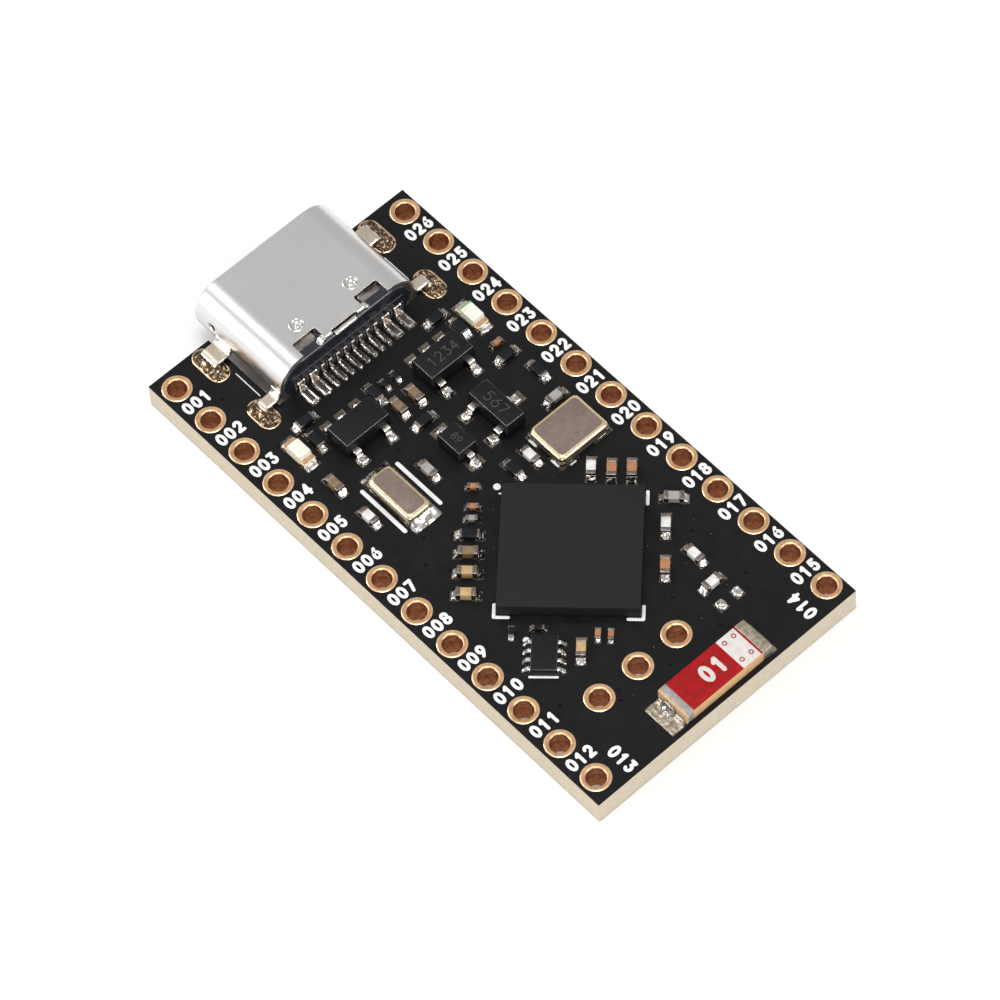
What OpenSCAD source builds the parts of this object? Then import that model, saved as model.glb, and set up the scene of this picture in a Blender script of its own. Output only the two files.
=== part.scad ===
// Small wireless microcontroller board with a sunk USB-C receptacle.
// +Z is up, the USB mouth faces -Y, the antenna end is +Y.
// Origin: centre of the two long rows of pin holes, on the underside of the board.

/* [Board] */
// Width of the board across the two pin rows
board_w = 17.0; // [16.9:0.1:18.2]
// Length of the board from the USB edge to the antenna edge
board_l = 32.76; // [32.7:0.02:33.4]
// Thickness of the board with its solder mask
board_t = 1.6; // [1.2:0.1:2.0]
// Thickness of each solder mask layer, which the copper lands are level with
mask_t = 0.03; // [0.02:0.01:0.05]

/* [Pin holes] */
// Pitch of the pin holes
pin_pitch = 2.54; // [2.54:0.01:2.54]
// Number of pin holes in each long row
pin_count = 13; // [13:1:13]
// Distance between the two long rows
row_gap = 15.24; // [15.24:0.01:15.24]
// Finished diameter of a plated pin hole
hole_d = 1.0; // [0.9:0.05:1.1]
// Diameter of the copper ring round a pin hole
ring_d = 1.56; // [1.5:0.02:1.6]
// Thickness of the copper in a plated hole
plate_t = 0.03; // [0.02:0.01:0.05]

/* [USB receptacle] */
// Width of the steel shell
shell_w = 8.94; // [8.9:0.02:9.0]
// Height of the steel shell
shell_h = 3.16; // [3.1:0.02:3.2]
// Wall of the steel shell
shell_wall = 0.3; // [0.2:0.05:0.3]
// Length of the steel shell from mouth to rear edge
shell_l = 6.5; // [6.5:0.1:6.6]
// How far the shell sinks below the top of the board
shell_sink = 0.7; // [0.6:0.05:0.75]
// Width of the cut-out in the board for the shell
notch_w = 9.3; // [9.1:0.05:9.35]

/* [Chips] */
// Side of the square main controller package
mcu_side = 7.0; // [6.6:0.1:7.0]
// Height of the main controller package above its lands
mcu_h = 0.82; // [0.6:0.02:1.0]
// Height of the small moulded packages above the board
sot_h = 1.1; // [0.9:0.05:1.2]

/* [Hidden] */

$fn = 48;
eps = 0.01;
bt = board_t;                    // height of the board's top face
x_mid = 0.07;                    // the outline sits a little off the pin rows' middle
y_usb = -16.32;                  // USB edge of the board
x0 = x_mid - board_w / 2;
y_ant = y_usb + board_l;         // antenna edge of the board
row_x = row_gap / 2;
pin_y = [for (k = [0 : pin_count - 1]) (k - (pin_count - 1) / 2) * pin_pitch];
end_x = [4.55, 2.01, -0.53];     // three further holes near the antenna
end_y = 12.18;

usb_x = -0.04;                   // middle of the receptacle
mouth_y = -17.5;
shell_r = shell_h / 2;
shell_zc = bt - shell_sink + shell_h / 2;
shell_rear = mouth_y + shell_l;
notch_y = -10.98;                // rear wall of the board's cut-out
base_y = -12.6;                  // front face of the moulded housing
housing_rear = -10.95;
tongue_w = 6.69;
tongue_t = 0.7;

// plated slots for the shell legs: [x, y, length, leg width]
slots = [[5.5, -15.1, 2.34, 1.15], [-5.58, -15.1, 2.34, 1.15],
         [5.5, -11.1, 2.0, 0.7], [-5.58, -11.1, 2.0, 0.7]];
slot_w = 0.65;
slot_ring = 0.27;

// vias: [x, y]
vias = [[2.1, -4.9], [-1.0, 0.9], [4.6, -0.3], [5.6, 0.9], [4.9, 2.0], [-3.6, 1.35],
        [6.2, 11.2], [3.6, 12.5], [3.9, 13.0], [0.9, 13.2], [-2.4, 13.3], [-5.1, 8.5],
        [-5.3, 12.0], [-1.8, 10.6], [6.4, -13.2], [6.2, -9.2], [-6.4, -13.4]];

// two-terminal parts: [x, y, angle of the long axis]
size_0402 = [1.0, 0.5];
size_0201 = [0.6, 0.3];
caps_tan = [[0.52, -6.66, 90], [-0.57, -6.66, 90], [5.78, -5.5, 90],
            [3.68, 1.92, 135], [4.47, 2.71, 135], [5.34, 3.58, 135], [3.42, 9.7, 45]];
caps_orange = [[-4.58, 3.3, 45], [-5.3, 3.98, 45], [-2.66, 9.14, 45]];
caps_small = [[0.94, -0.72, 135], [1.73, 0.12, 135], [2.23, 0.58, 135],
              [2.24, 9.62, 45], [1.81, 10.08, 45], [-5.55, -6.12, 0]];
inductors = [[5.8, -2.96, 90], [1.9, -2.96, 90], [-2.26, -0.08, 90], [-5.46, -1.72, 0],
             [-3.94, 2.5, 45], [-5.69, 6.56, 135], [-4.33, 7.42, 45],
             [-4.16, 9.62, 90], [-3.68, 11.36, 0]];
resistors = [[0.1, -5.22, 0], [-5.43, -5.22, 0], [-5.93, -3.5, 90],
             [4.37, -9.3, 0], [-4.35, -9.3, 0], [4.72, -8.1, 90], [-4.83, -8.07, 90],
             [0.82, -8.12, 90], [-1.15, -0.08, 90], [2.92, 1.18, 135]];
resistors_small = [[0.08, -8.16, 90], [-0.62, -8.18, 90], [4.06, 7.35, 135], [5.16, 6.62, 45]];
bare_lands = [[-3.18, 12.54], [-4.24, 12.54]];

h_cap = 0.5; h_ind = 0.42; h_res = 0.34; h_small = 0.3;
term = 0.22; term_small = 0.13;

leds = [[5.78, -8.13, 90], [-5.76, -8.13, 90]];
wcry = [3.95, -2.79];            // watch crystal, 1.5 x 3.2
mcry = [-4.56, 0.22];            // main crystal, 3.2 x 2.5
mcu_at = [0.06, 5.37];
charger_at = [2.82, -7.0];
regulator_at = [-2.83, -7.02];
transistor_at = [-2.79, -3.06];
diode_at = [-0.09, -3.0];
flash_at = [4.95, 8.75];
ant_x0 = -3.12; ant_x1 = 2.55; ant_y0 = 14.14; ant_y1 = 16.16; ant_h = 0.8;

// lands as [x, y, size x, size y, angle]
function turn(p, a) = [p[0] * cos(a) - p[1] * sin(a), p[0] * sin(a) + p[1] * cos(a)];
function chip_lands(c, off, l, w) =
    [for (s = [-1, 1]) let (q = turn([s * off, 0], c[2])) [c[0] + q[0], c[1] + q[1], l, w, c[2]]];
function all_of(list, off, l, w) = [for (c = list) for (r = chip_lands(c, off, l, w)) r];
chip_pads = concat(
    all_of(caps_tan, 0.52, 0.52, 0.56), all_of(caps_orange, 0.52, 0.52, 0.56),
    all_of(inductors, 0.52, 0.52, 0.56), all_of(resistors, 0.52, 0.52, 0.56),
    all_of(caps_small, 0.3, 0.3, 0.34), all_of(resistors_small, 0.3, 0.3, 0.34));
bare_pads = [for (b = bare_lands) [b[0], b[1], 0.56, 0.62, 0]];
led_pads = all_of(leds, 0.85, 0.6, 0.86);
wcry_pads = [for (s = [-1, 1]) [wcry[0] - 0.1, wcry[1] + s * 1.45, 1.76, 1.3, 0]];
mcry_pads = [for (s = [-1, 1]) for (t = [-1, 1]) [mcry[0] + s * 1.12, mcry[1] + t * 0.86, 1.2, 1.0, 0]];
sot5_x = [-0.95, 0, 0.95];
function sot5_pads(at) = concat(
    [for (x = sot5_x) [at[0] + x, at[1] - 1.28, 0.62, 0.72, 0]],
    [for (x = [-0.95, 0.95]) [at[0] + x, at[1] + 1.28, 0.62, 0.72, 0]]);
transistor_pads = [[transistor_at[0] + 1.2, transistor_at[1] - 0.95, 0.7, 0.66, 0],
                   [transistor_at[0] + 1.2, transistor_at[1] + 0.95, 0.7, 0.66, 0],
                   [transistor_at[0] - 1.25, transistor_at[1], 0.86, 0.66, 0]];
diode_pads = [for (s = [-1, 1]) [diode_at[0], diode_at[1] + s * 1.22, 0.94, 0.7, 0]];
flash_row = [-0.75, -0.25, 0.25, 0.75];
flash_pads = [for (s = [-1, 1]) for (k = flash_row)
    let (q = turn([k, s * 0.82], 45)) [flash_at[0] + q[0], flash_at[1] + q[1], 0.28, 0.42, 45]];
ant_pads = [[3.01, 15.17, 0.92, 2.0, 0], [-3.14, 15.17, 0.6, 2.0, 0]];
usb_tail_x = [-3.2, -2.4, -1.75, -1.25, -0.75, -0.25, 0.25, 0.75, 1.25, 1.75, 2.4, 3.2];
function tail_w(x) = abs(x) > 2 ? 0.6 : 0.3;
usb_pads = [for (x = usb_tail_x) [usb_x + x, -10.33, tail_w(x), 1.14, 0]];
mcu_pitch = 0.5;
mcu_row = [for (k = [0 : 11]) (k - 5.5) * mcu_pitch];
mcu_off = mcu_side / 2 - 0.3;
mcu_pads = concat(
    [for (q = [0 : 3]) for (k = mcu_row)
        let (p = turn([k, mcu_off], 45 + 90 * q))
        [mcu_at[0] + p[0], mcu_at[1] + p[1], 0.26, 0.4, 45 + 90 * q]],
    [[mcu_at[0], mcu_at[1], 4.4, 4.4, 45]]);
all_pads = concat(chip_pads, bare_pads, led_pads, wcry_pads, mcry_pads,
    sot5_pads(charger_at), sot5_pads(regulator_at), transistor_pads, diode_pads,
    flash_pads, ant_pads, usb_pads, mcu_pads);

module rect_at(r) { translate([r[0], r[1]]) rotate(r[4]) square([r[2], r[3]], center = true); }
module capsule(l, w) {           // round-ended slot along Y
    square([w, l - w], center = true);
    for (s = [-1, 1]) translate([0, s * (l - w) / 2]) circle(d = w);
}
module outline() {
    difference() {
        translate([x0, y_usb]) square([board_w, board_l]);
        translate([usb_x - notch_w / 2, y_usb - 1]) square([notch_w, notch_y - y_usb + 1]);
    }
}
module at_pins() {
    for (s = [-1, 1]) for (y = pin_y) translate([s * row_x, y]) children();
    for (x = end_x) translate([x, end_y]) children();
}

// ---- bare board ----
module board_laminate() {
    color([0.82, 0.78, 0.68])
    translate([0, 0, mask_t]) linear_extrude(bt - 2 * mask_t) difference() {
        outline();
        at_pins() circle(d = hole_d + 2 * plate_t);
        for (s = slots) translate([s[0], s[1]]) capsule(s[2] - 2 * slot_ring + 2 * plate_t, slot_w + 2 * plate_t);
        for (v = vias) translate(v) circle(d = 0.3);
    }
}
module solder_mask_top() {
    color([0.09, 0.09, 0.1])
    translate([0, 0, bt - mask_t]) linear_extrude(mask_t) difference() {
        outline();
        at_pins() circle(d = ring_d);
        for (s = slots) translate([s[0], s[1]]) capsule(s[2], slot_w + 2 * slot_ring);
        for (r = all_pads) rect_at(r);
    }
}
module solder_mask_bottom() {
    color([0.09, 0.09, 0.1])
    linear_extrude(mask_t) difference() {
        outline();
        at_pins() circle(d = ring_d);
        for (s = slots) translate([s[0], s[1]]) capsule(s[2], slot_w + 2 * slot_ring);
    }
}
module plated_hole() {
    color([0.85, 0.62, 0.38]) difference() {
        union() {
            cylinder(h = bt, d = hole_d + 2 * plate_t);
            cylinder(h = mask_t, d = ring_d);
            translate([0, 0, bt - mask_t]) cylinder(h = mask_t, d = ring_d);
        }
        translate([0, 0, -1]) cylinder(h = bt + 2, d = hole_d);
    }
}
module barrel_plating_left() { for (y = pin_y) translate([row_x, y, 0]) plated_hole(); }
module barrel_plating_right() { for (y = pin_y) translate([-row_x, y, 0]) plated_hole(); }
module barrel_plating_end() { for (x = end_x) translate([x, end_y, 0]) plated_hole(); }
module slot_plating() {
    color([0.85, 0.62, 0.38])
    for (s = slots) translate([s[0], s[1], 0]) difference() {
        union() {
            linear_extrude(bt) capsule(s[2] - 2 * slot_ring + 2 * plate_t, slot_w + 2 * plate_t);
            for (z = [0, bt - mask_t]) translate([0, 0, z])
                linear_extrude(mask_t) capsule(s[2], slot_w + 2 * slot_ring);
        }
        translate([0, 0, -1]) linear_extrude(bt + 2) capsule(s[2] - 2 * slot_ring, slot_w);
    }
}
module via_barrels() {
    color([0.85, 0.62, 0.38])
    for (v = vias) translate([v[0], v[1], mask_t]) difference() {
        cylinder(h = bt - 2 * mask_t, d = 0.3);
        translate([0, 0, -1]) cylinder(h = bt + 2, d = 0.2);
    }
}
module smd_pads() {
    color([0.86, 0.84, 0.78])
    translate([0, 0, bt - mask_t]) linear_extrude(mask_t) for (r = all_pads) rect_at(r);
}
module silk_bar(x, y, l, w, a) {
    translate([x, y, bt]) rotate(a) linear_extrude(0.015) capsule(l, w);
}
module silk_chevron(x, y, a) {   // two short strokes that meet at a corner
    translate([x, y, bt]) rotate(a) linear_extrude(0.015) {
        translate([-0.31, 0]) rotate(90) capsule(0.78, 0.16);
        translate([0, 0.31]) capsule(0.78, 0.16);
    }
}
module silkscreen_marks() {
    color("white") {
        silk_bar(wcry[0] + 1.05, wcry[1], 3.36, 0.22, 0);
        silk_bar(wcry[0] - 1.27, wcry[1], 3.36, 0.22, 0);
        silk_bar(-2.84, mcry[1] - 0.86, 0.7, 0.16, 0);
        silk_bar(-2.84, mcry[1] + 0.86, 0.7, 0.16, 0);
        silk_bar(4.93, -12.95, 1.9, 0.1, 0);
        silk_bar(-5.0, -12.95, 1.9, 0.1, 0);
        silk_bar(5.7, 9.5, 1.35, 0.12, -45 + 90);
        silk_chevron(mcu_at[0] + 5.14, mcu_at[1], -45);
        silk_chevron(mcu_at[0], mcu_at[1] + 5.14, 45);
        silk_chevron(mcu_at[0] - 5.14, mcu_at[1], 135);
        translate([0.06, 0.03, bt]) cylinder(h = 0.015, d = 0.38);
        translate([4.91, 7.41, bt]) cylinder(h = 0.015, d = 0.34);
    }
}

// ---- USB receptacle ----
module stadium(w, h) {
    square([w - h, h], center = true);
    for (s = [-1, 1]) translate([s * (w - h) / 2, 0]) circle(d = h, $fn = 96);
}
module along_y(y0, y1) {         // extrudes an X-Z outline from y0 to y1
    translate([usb_x, y1, shell_zc]) rotate([90, 0, 0]) linear_extrude(y1 - y0) children();
}
leg_top = 0.42;                  // top of a leg's flat stretch above the board
leg_t = 0.3;
leg_out = 5.69;                  // outer face of a leg from the middle of the receptacle
module leg_outline() {
    zb = bt + leg_top - shell_zc;
    difference() {
        union() {
            translate([4.2, zb - leg_t]) square([leg_out - 0.4 - 4.2, leg_t]);
            translate([leg_out - leg_t, 0.25 - shell_zc]) square([leg_t, bt + leg_top - 0.4 - 0.25]);
            translate([leg_out - 0.4, zb - 0.4]) intersection() {
                difference() { circle(r = 0.4, $fn = 48); circle(r = 0.1, $fn = 48); }
                square([1, 1]);
            }
        }
    }
}
module usb_shell() {
    color([0.78, 0.78, 0.78]) difference() {
        union() {
            along_y(mouth_y, shell_rear) difference() {
                stadium(shell_w, shell_h);
                stadium(shell_w - 2 * shell_wall, shell_h - 2 * shell_wall);
            }
            for (s = slots) let (sx = s[0] > 0 ? 1 : -1, yc = s[1] < -13 ? -15.28 : -11.36)
                translate([usb_x, yc + s[3] / 2, shell_zc]) rotate([90, 0, 0])
                    linear_extrude(s[3]) mirror([sx > 0 ? 0 : 1, 0]) leg_outline();
        }
        // latch windows open to the rear edge of the top sheet
        for (s = [-1, 1]) translate([usb_x + s * 2.04, shell_rear, shell_zc + shell_r])
            cube([1.56, 1.8, 1.4], center = true);
        // middle relief of the top sheet
        translate([usb_x, shell_rear, shell_zc + shell_r]) cube([1.7, 0.4, 1.2], center = true);
        // two shallow round dimples
        for (s = [-1, 1]) translate([usb_x + s * 1.79, -12.6, shell_zc + shell_r - 0.05])
            cylinder(h = 1, d = 0.75);
        // small round openings in the side walls
        for (s = [-1, 1]) translate([usb_x + s * 4.4, -16.16, shell_zc + 0.24])
            rotate([0, 90, 0]) cylinder(h = 1.4, d = 0.42, center = true);
    }
}
// contact outlines in the Y-Z plane, heights from the middle of the shell
tail_end = -9.76;
module upper_outline() {
    zt = tongue_t / 2; zp = bt - shell_zc;
    polygon([[mouth_y + 1.5, zt - 0.12], [mouth_y + 1.5, zt], [-12.1, zt], [-12.1, 0.9], [-10.93, 0.9],
             [-10.93, zp + 0.13], [tail_end, zp + 0.13], [tail_end, zp], [-11.05, zp], [-11.05, 0.78],
             [-11.98, 0.78], [-11.98, zt - 0.12]]);
}
module lower_outline() {
    zt = tongue_t / 2; zp = bt - shell_zc;
    polygon([[mouth_y + 1.5, -zt], [mouth_y + 1.5, -zt + 0.12], [-11.9, -zt + 0.12], [-11.9, -0.02],
             [-10.93, -0.02], [-10.93, zp + 0.13], [tail_end, zp + 0.13], [tail_end, zp], [-11.05, zp],
             [-11.05, -0.14], [-11.78, -0.14], [-11.78, -zt]]);
}
module contact(x, w) {
    translate([usb_x + x - w / 2, 0, shell_zc]) rotate([90, 0, 90]) linear_extrude(w) children();
}
upper_x = [-3.2, -1.25, -0.25, 0.75, 1.75, 2.4];
lower_x = [-2.4, -1.75, -0.75, 0.25, 1.25, 3.2];
function blade_w(x) = abs(x) > 2 ? 0.5 : 0.26;
module upper_set() { for (x = upper_x) contact(x, blade_w(x)) upper_outline(); }
module lower_set() { for (x = lower_x) contact(x, blade_w(x)) lower_outline(); }
module usb_contacts_upper() { color([0.85, 0.7, 0.4]) upper_set(); }
module usb_contacts_lower() { color([0.85, 0.7, 0.4]) lower_set(); }
module mid_plate_shape() {
    translate([usb_x - 3.0, mouth_y + 1.1, shell_zc + 0.06]) cube([6.0, 4.2, 0.1]);
}
module usb_mid_plate() { color([0.7, 0.7, 0.7]) mid_plate_shape(); }
module usb_housing() {
    color([0.07, 0.07, 0.08]) difference() {
        intersection() {
            along_y(base_y, housing_rear) stadium(shell_w - 2 * shell_wall, shell_h - 2 * shell_wall);
            union() {
                translate([usb_x - 6, base_y, -1]) cube([12, notch_y - base_y, 8]);
                translate([usb_x - 6, notch_y - 0.5, bt]) cube([12, housing_rear - notch_y + 0.5, 8]);
            }
        }
        mid_plate_shape();
        upper_set();
        lower_set();
    }
}
module usb_tongue() {
    color([0.08, 0.08, 0.09]) difference() {
        translate([usb_x - tongue_w / 2, mouth_y + 0.9, shell_zc - tongue_t / 2])
            cube([tongue_w, base_y - mouth_y - 0.9, tongue_t]);
        mid_plate_shape();
        upper_set();
        lower_set();
    }
}
module usb_leg_solder() {
    color([0.75, 0.73, 0.68])
    for (s = slots) difference() {
        translate([s[0], s[1], 0.02]) linear_extrude(bt + 0.03) capsule(s[2] - 2 * slot_ring, slot_w);
        let (sx = s[0] > 0 ? 1 : -1, yc = s[1] < -13 ? -15.28 : -11.36)
            translate([usb_x + sx * (leg_out - leg_t / 2), yc, 2.25])
                cube([leg_t, s[3], 4], center = true);
    }
}

// ---- main controller ----
module mcu_package() {
    color([0.17, 0.17, 0.17]) difference() {
        translate([mcu_at[0], mcu_at[1], bt + 0.03]) rotate(45)
            translate([-mcu_side / 2, -mcu_side / 2, 0]) cube([mcu_side, mcu_side, mcu_h]);
        translate([mcu_at[0], mcu_at[1], bt + 0.2]) rotate(45)
            translate([-1.7, -1.7, 0]) cube([3.4, 3.4, 0.25]);
    }
}
module mcu_die() {
    color([0.4, 0.4, 0.45]) translate([mcu_at[0], mcu_at[1], bt + 0.2]) rotate(45)
        translate([-1.7, -1.7, 0]) cube([3.4, 3.4, 0.25]);
}
module mcu_lands() {
    color([0.8, 0.8, 0.78]) translate([0, 0, bt]) linear_extrude(0.03)
        for (r = mcu_pads) rect_at(r);
}

// ---- crystals: ceramic tray, quartz blank, metal lid ----
module tray(at, w, l, h) {
    color([0.12, 0.11, 0.1]) translate([at[0], at[1], bt]) difference() {
        translate([-w / 2, -l / 2, 0]) cube([w, l, h]);
        translate([-w / 2 + 0.25, -l / 2 + 0.25, 0.2]) cube([w - 0.5, l - 0.5, h]);
    }
}
module blank(at, w, l) {
    color([0.8, 0.85, 0.85]) translate([at[0] - w / 2, at[1] - l / 2, bt + 0.2]) cube([w, l, 0.08]);
}
module round_rect(w, l, r) {
    square([w - 2 * r, l], center = true);
    square([w, l - 2 * r], center = true);
    for (sx = [-1, 1]) for (sy = [-1, 1]) translate([sx * (w / 2 - r), sy * (l / 2 - r)]) circle(r = r);
}
module lid(at, w, l, z, t, tt, m) { // flange and a smaller raised panel
    color([0.66, 0.58, 0.55]) translate([at[0], at[1], bt + z]) {
        linear_extrude(t) round_rect(w, l, 0.25);
        translate([0, 0, t]) linear_extrude(tt) round_rect(w - 2 * m, l - 2 * m, 0.12);
    }
}
module watch_crystal_base() { tray(wcry, 1.5, 3.2, 0.45); }
module watch_crystal_blank() { blank(wcry, 0.8, 2.4); }
module watch_crystal_lid() { lid(wcry, 1.42, 3.12, 0.45, 0.14, 0.12, 0.14); }
module main_crystal_base() { tray(mcry, 3.2, 2.5, 0.42); }
module main_crystal_blank() { blank(mcry, 2.0, 1.5); }
module main_crystal_lid() { lid(mcry, 3.14, 2.44, 0.42, 0.14, 0.12, 0.16); }

// ---- small moulded packages ----
lead_t = 0.13;
module gull(w) {                 // one lead, running out along +X from the package side
    rotate([90, 0, 0]) translate([0, 0, -w / 2]) linear_extrude(w)
        polygon([[0, 0.5], [0.22, 0.5], [0.36, lead_t], [0.72, lead_t], [0.72, 0], [0.27, 0],
                 [0.13, 0.5 - lead_t], [0, 0.5 - lead_t]]);
}
module moulded(at, w, l) {       // package with a parting line and sloped upper half
    color([0.13, 0.13, 0.14]) translate([at[0], at[1], bt + 0.08]) {
        translate([-w / 2, -l / 2, 0]) cube([w, l, 0.42]);
        translate([0, 0, 0.42]) linear_extrude(sot_h - 0.5) square([w - 0.16, l - 0.16], center = true);
    }
}
sot_body_l = 1.6;
module sot5_leads(at) {
    color([0.75, 0.74, 0.72]) {
        for (x = sot5_x) translate([at[0] + x, at[1] - sot_body_l / 2, bt]) rotate(-90) gull(0.4);
        for (x = [-0.95, 0.95]) translate([at[0] + x, at[1] + sot_body_l / 2, bt]) rotate(90) gull(0.4);
    }
}
module charger_ic_body() { moulded(charger_at, 2.9, sot_body_l); }
module charger_ic_leads() { sot5_leads(charger_at); }
module regulator_ic_body() { moulded(regulator_at, 2.9, sot_body_l); }
module regulator_ic_leads() { sot5_leads(regulator_at); }
module transistor_body() { moulded(transistor_at, 1.3, 2.9); }
module transistor_leads() {
    color([0.75, 0.74, 0.72]) {
        for (y = [-0.95, 0.95]) translate([transistor_at[0] + 0.65, transistor_at[1] + y, bt]) gull(0.42);
        translate([transistor_at[0] - 0.65, transistor_at[1], bt]) rotate(180) gull(0.42);
    }
}
diode_h = 0.9;
module diode_body() {
    color([0.13, 0.13, 0.14]) translate([diode_at[0], diode_at[1], bt + 0.08]) {
        translate([-0.63, -0.85, 0]) cube([1.26, 1.7, 0.42]);
        translate([0, 0, 0.42]) linear_extrude(diode_h - 0.5) square([1.12, 1.56], center = true);
    }
}
module diode_leads() {
    color([0.75, 0.74, 0.72]) for (s = [-1, 1])
        translate([diode_at[0], diode_at[1] + s * 0.85, bt]) rotate(s * 90) gull(0.36);
}
module flash_ic_body() {
    color([0.13, 0.13, 0.14]) translate([flash_at[0], flash_at[1], bt + 0.05]) rotate(45)
        translate([-1, -0.75, 0]) cube([2.0, 1.5, 0.5]);
}
module flash_ic_lands() {
    color([0.75, 0.74, 0.72]) translate([flash_at[0], flash_at[1], bt]) rotate(45)
        for (s = [-1, 1]) for (k = flash_row)
            translate([k - 0.12, s > 0 ? 0.55 : -0.8, 0]) {
                cube([0.24, 0.25, 0.05]);
                translate([0, s > 0 ? 0.2 : -0.02, 0]) cube([0.24, 0.07, 0.18]);
            }
}

// ---- light emitting diodes ----
module led_bases() {
    color([0.85, 0.82, 0.72]) for (c = leds) translate([c[0], c[1], bt]) rotate(c[2])
        translate([-0.5, -0.4, 0]) cube([1.0, 0.8, 0.25]);
}
module led_lenses() {
    color([0.9, 0.9, 0.82]) for (c = leds) translate([c[0], c[1], bt + 0.25]) rotate(c[2])
        translate([-0.55, -0.4, 0]) cube([1.1, 0.8, 0.35]);
}
module led_terminals() {
    color([0.85, 0.7, 0.5]) for (c = leds) translate([c[0], c[1], bt]) rotate(c[2])
        for (s = [0, 1]) mirror([s, 0, 0]) translate([0.5, -0.4, 0]) cube([0.32, 0.8, 0.25]);
}

// ---- chip antenna ----
module antenna_core() {
    color([0.85, 0.7, 0.5]) translate([-2.5, ant_y0, bt])
        cube([4.55, ant_y1 - ant_y0, ant_h - 0.03]);
}
module antenna_coat_red() {
    color([0.75, 0.05, 0.07]) translate([-1.24, ant_y0, bt + ant_h - 0.03])
        cube([3.29, ant_y1 - ant_y0, 0.03]);
}
module antenna_coat_white() {
    color([0.92, 0.86, 0.82]) translate([-2.5, ant_y0, bt + ant_h - 0.03])
        cube([1.26, ant_y1 - ant_y0, 0.03]);
}
module antenna_terminals() {
    color([0.6, 0.56, 0.5]) {
        translate([2.05, ant_y0, bt]) cube([ant_x1 - 2.05, ant_y1 - ant_y0, ant_h]);
        translate([ant_x0, ant_y0, bt]) cube([-2.5 - ant_x0, ant_y1 - ant_y0, ant_h]);
    }
}

// ---- two-terminal chips ----
module chip_body(c, size, h, t) {
    translate([c[0], c[1], bt]) rotate(c[2])
        translate([-size[0] / 2 + t, -size[1] / 2, 0]) cube([size[0] - 2 * t, size[1], h]);
}
module chip_ends(c, size, h, t) {
    translate([c[0], c[1], bt]) rotate(c[2]) for (s = [0, 1]) mirror([s, 0, 0])
        translate([size[0] / 2 - t, -size[1] / 2, 0]) cube([t, size[1], h]);
}
module capacitor_bodies_tan() {
    color([0.66, 0.52, 0.34]) for (c = caps_tan) chip_body(c, size_0402, h_cap, term);
}
module capacitor_bodies_orange() {
    color([0.85, 0.52, 0.3]) {
        for (c = caps_orange) chip_body(c, size_0402, h_cap, term);
        for (c = caps_small) chip_body(c, size_0201, h_small, term_small);
    }
}
module capacitor_terminals() {
    color([0.8, 0.79, 0.76]) {
        for (c = concat(caps_tan, caps_orange)) chip_ends(c, size_0402, h_cap, term);
        for (c = caps_small) chip_ends(c, size_0201, h_small, term_small);
    }
}
module inductor_bodies() {
    color([0.88, 0.87, 0.85]) for (c = inductors) chip_body(c, size_0402, h_ind, term);
}
module inductor_terminals() {
    color([0.8, 0.79, 0.76]) for (c = inductors) chip_ends(c, size_0402, h_ind, term);
}
module resistor_bodies() {
    color([0.1, 0.1, 0.12]) {
        for (c = resistors) chip_body(c, size_0402, h_res, term);
        for (c = resistors_small) chip_body(c, size_0201, 0.24, term_small);
    }
}
module resistor_terminals() {
    color([0.8, 0.79, 0.76]) {
        for (c = resistors) chip_ends(c, size_0402, h_res, term);
        for (c = resistors_small) chip_ends(c, size_0201, 0.24, term_small);
    }
}

// ---- solder ----
module fillet(l, w, h) {         // wedge of solder that leans on a face at x = 0
    rotate([90, 0, 0]) translate([0, 0, -w / 2]) linear_extrude(w)
        polygon([[0, 0], [l, 0], [l * 0.45, h * 0.35], [0, h]]);
}
module end_fillets(c, half, l, w, h) {
    translate([c[0], c[1], bt]) rotate(c[2]) for (s = [0, 1]) mirror([s, 0, 0])
        translate([half, 0, 0]) fillet(l, w, h);
}
module solder_joints() {
    color([0.82, 0.81, 0.78]) {
        for (c = concat(caps_tan, caps_orange)) end_fillets(c, 0.5, 0.26, 0.48, 0.36);
        for (c = inductors) end_fillets(c, 0.5, 0.26, 0.48, 0.32);
        for (c = resistors) end_fillets(c, 0.5, 0.26, 0.48, 0.26);
        for (c = caps_small) end_fillets(c, 0.3, 0.14, 0.28, 0.2);
        for (c = resistors_small) end_fillets(c, 0.3, 0.14, 0.28, 0.18);
        for (c = leds) end_fillets(c, 0.82, 0.3, 0.7, 0.2);
        for (r = bare_pads) translate([r[0], r[1], bt]) translate([-0.24, -0.26, 0]) cube([0.48, 0.52, 0.08]);
        translate([ant_x1, 15.15, bt]) fillet(0.8, 1.8, 0.5);
    }
}

board_laminate();
solder_mask_top();
solder_mask_bottom();
barrel_plating_left();
barrel_plating_right();
barrel_plating_end();
slot_plating();
via_barrels();
smd_pads();
silkscreen_marks();
usb_shell();
usb_housing();
usb_tongue();
usb_mid_plate();
usb_contacts_upper();
usb_contacts_lower();
usb_leg_solder();
mcu_package();
mcu_die();
mcu_lands();
watch_crystal_base();
watch_crystal_blank();
watch_crystal_lid();
main_crystal_base();
main_crystal_blank();
main_crystal_lid();
charger_ic_body();
charger_ic_leads();
regulator_ic_body();
regulator_ic_leads();
transistor_body();
transistor_leads();
diode_body();
diode_leads();
flash_ic_body();
flash_ic_lands();
led_bases();
led_lenses();
led_terminals();
antenna_core();
antenna_coat_red();
antenna_coat_white();
antenna_terminals();
capacitor_bodies_tan();
capacitor_bodies_orange();
capacitor_terminals();
inductor_bodies();
inductor_terminals();
resistor_bodies();
resistor_terminals();
solder_joints();
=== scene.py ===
import math

import bmesh
import bpy
import numpy as np
from mathutils import Matrix, Vector, noise


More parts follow.
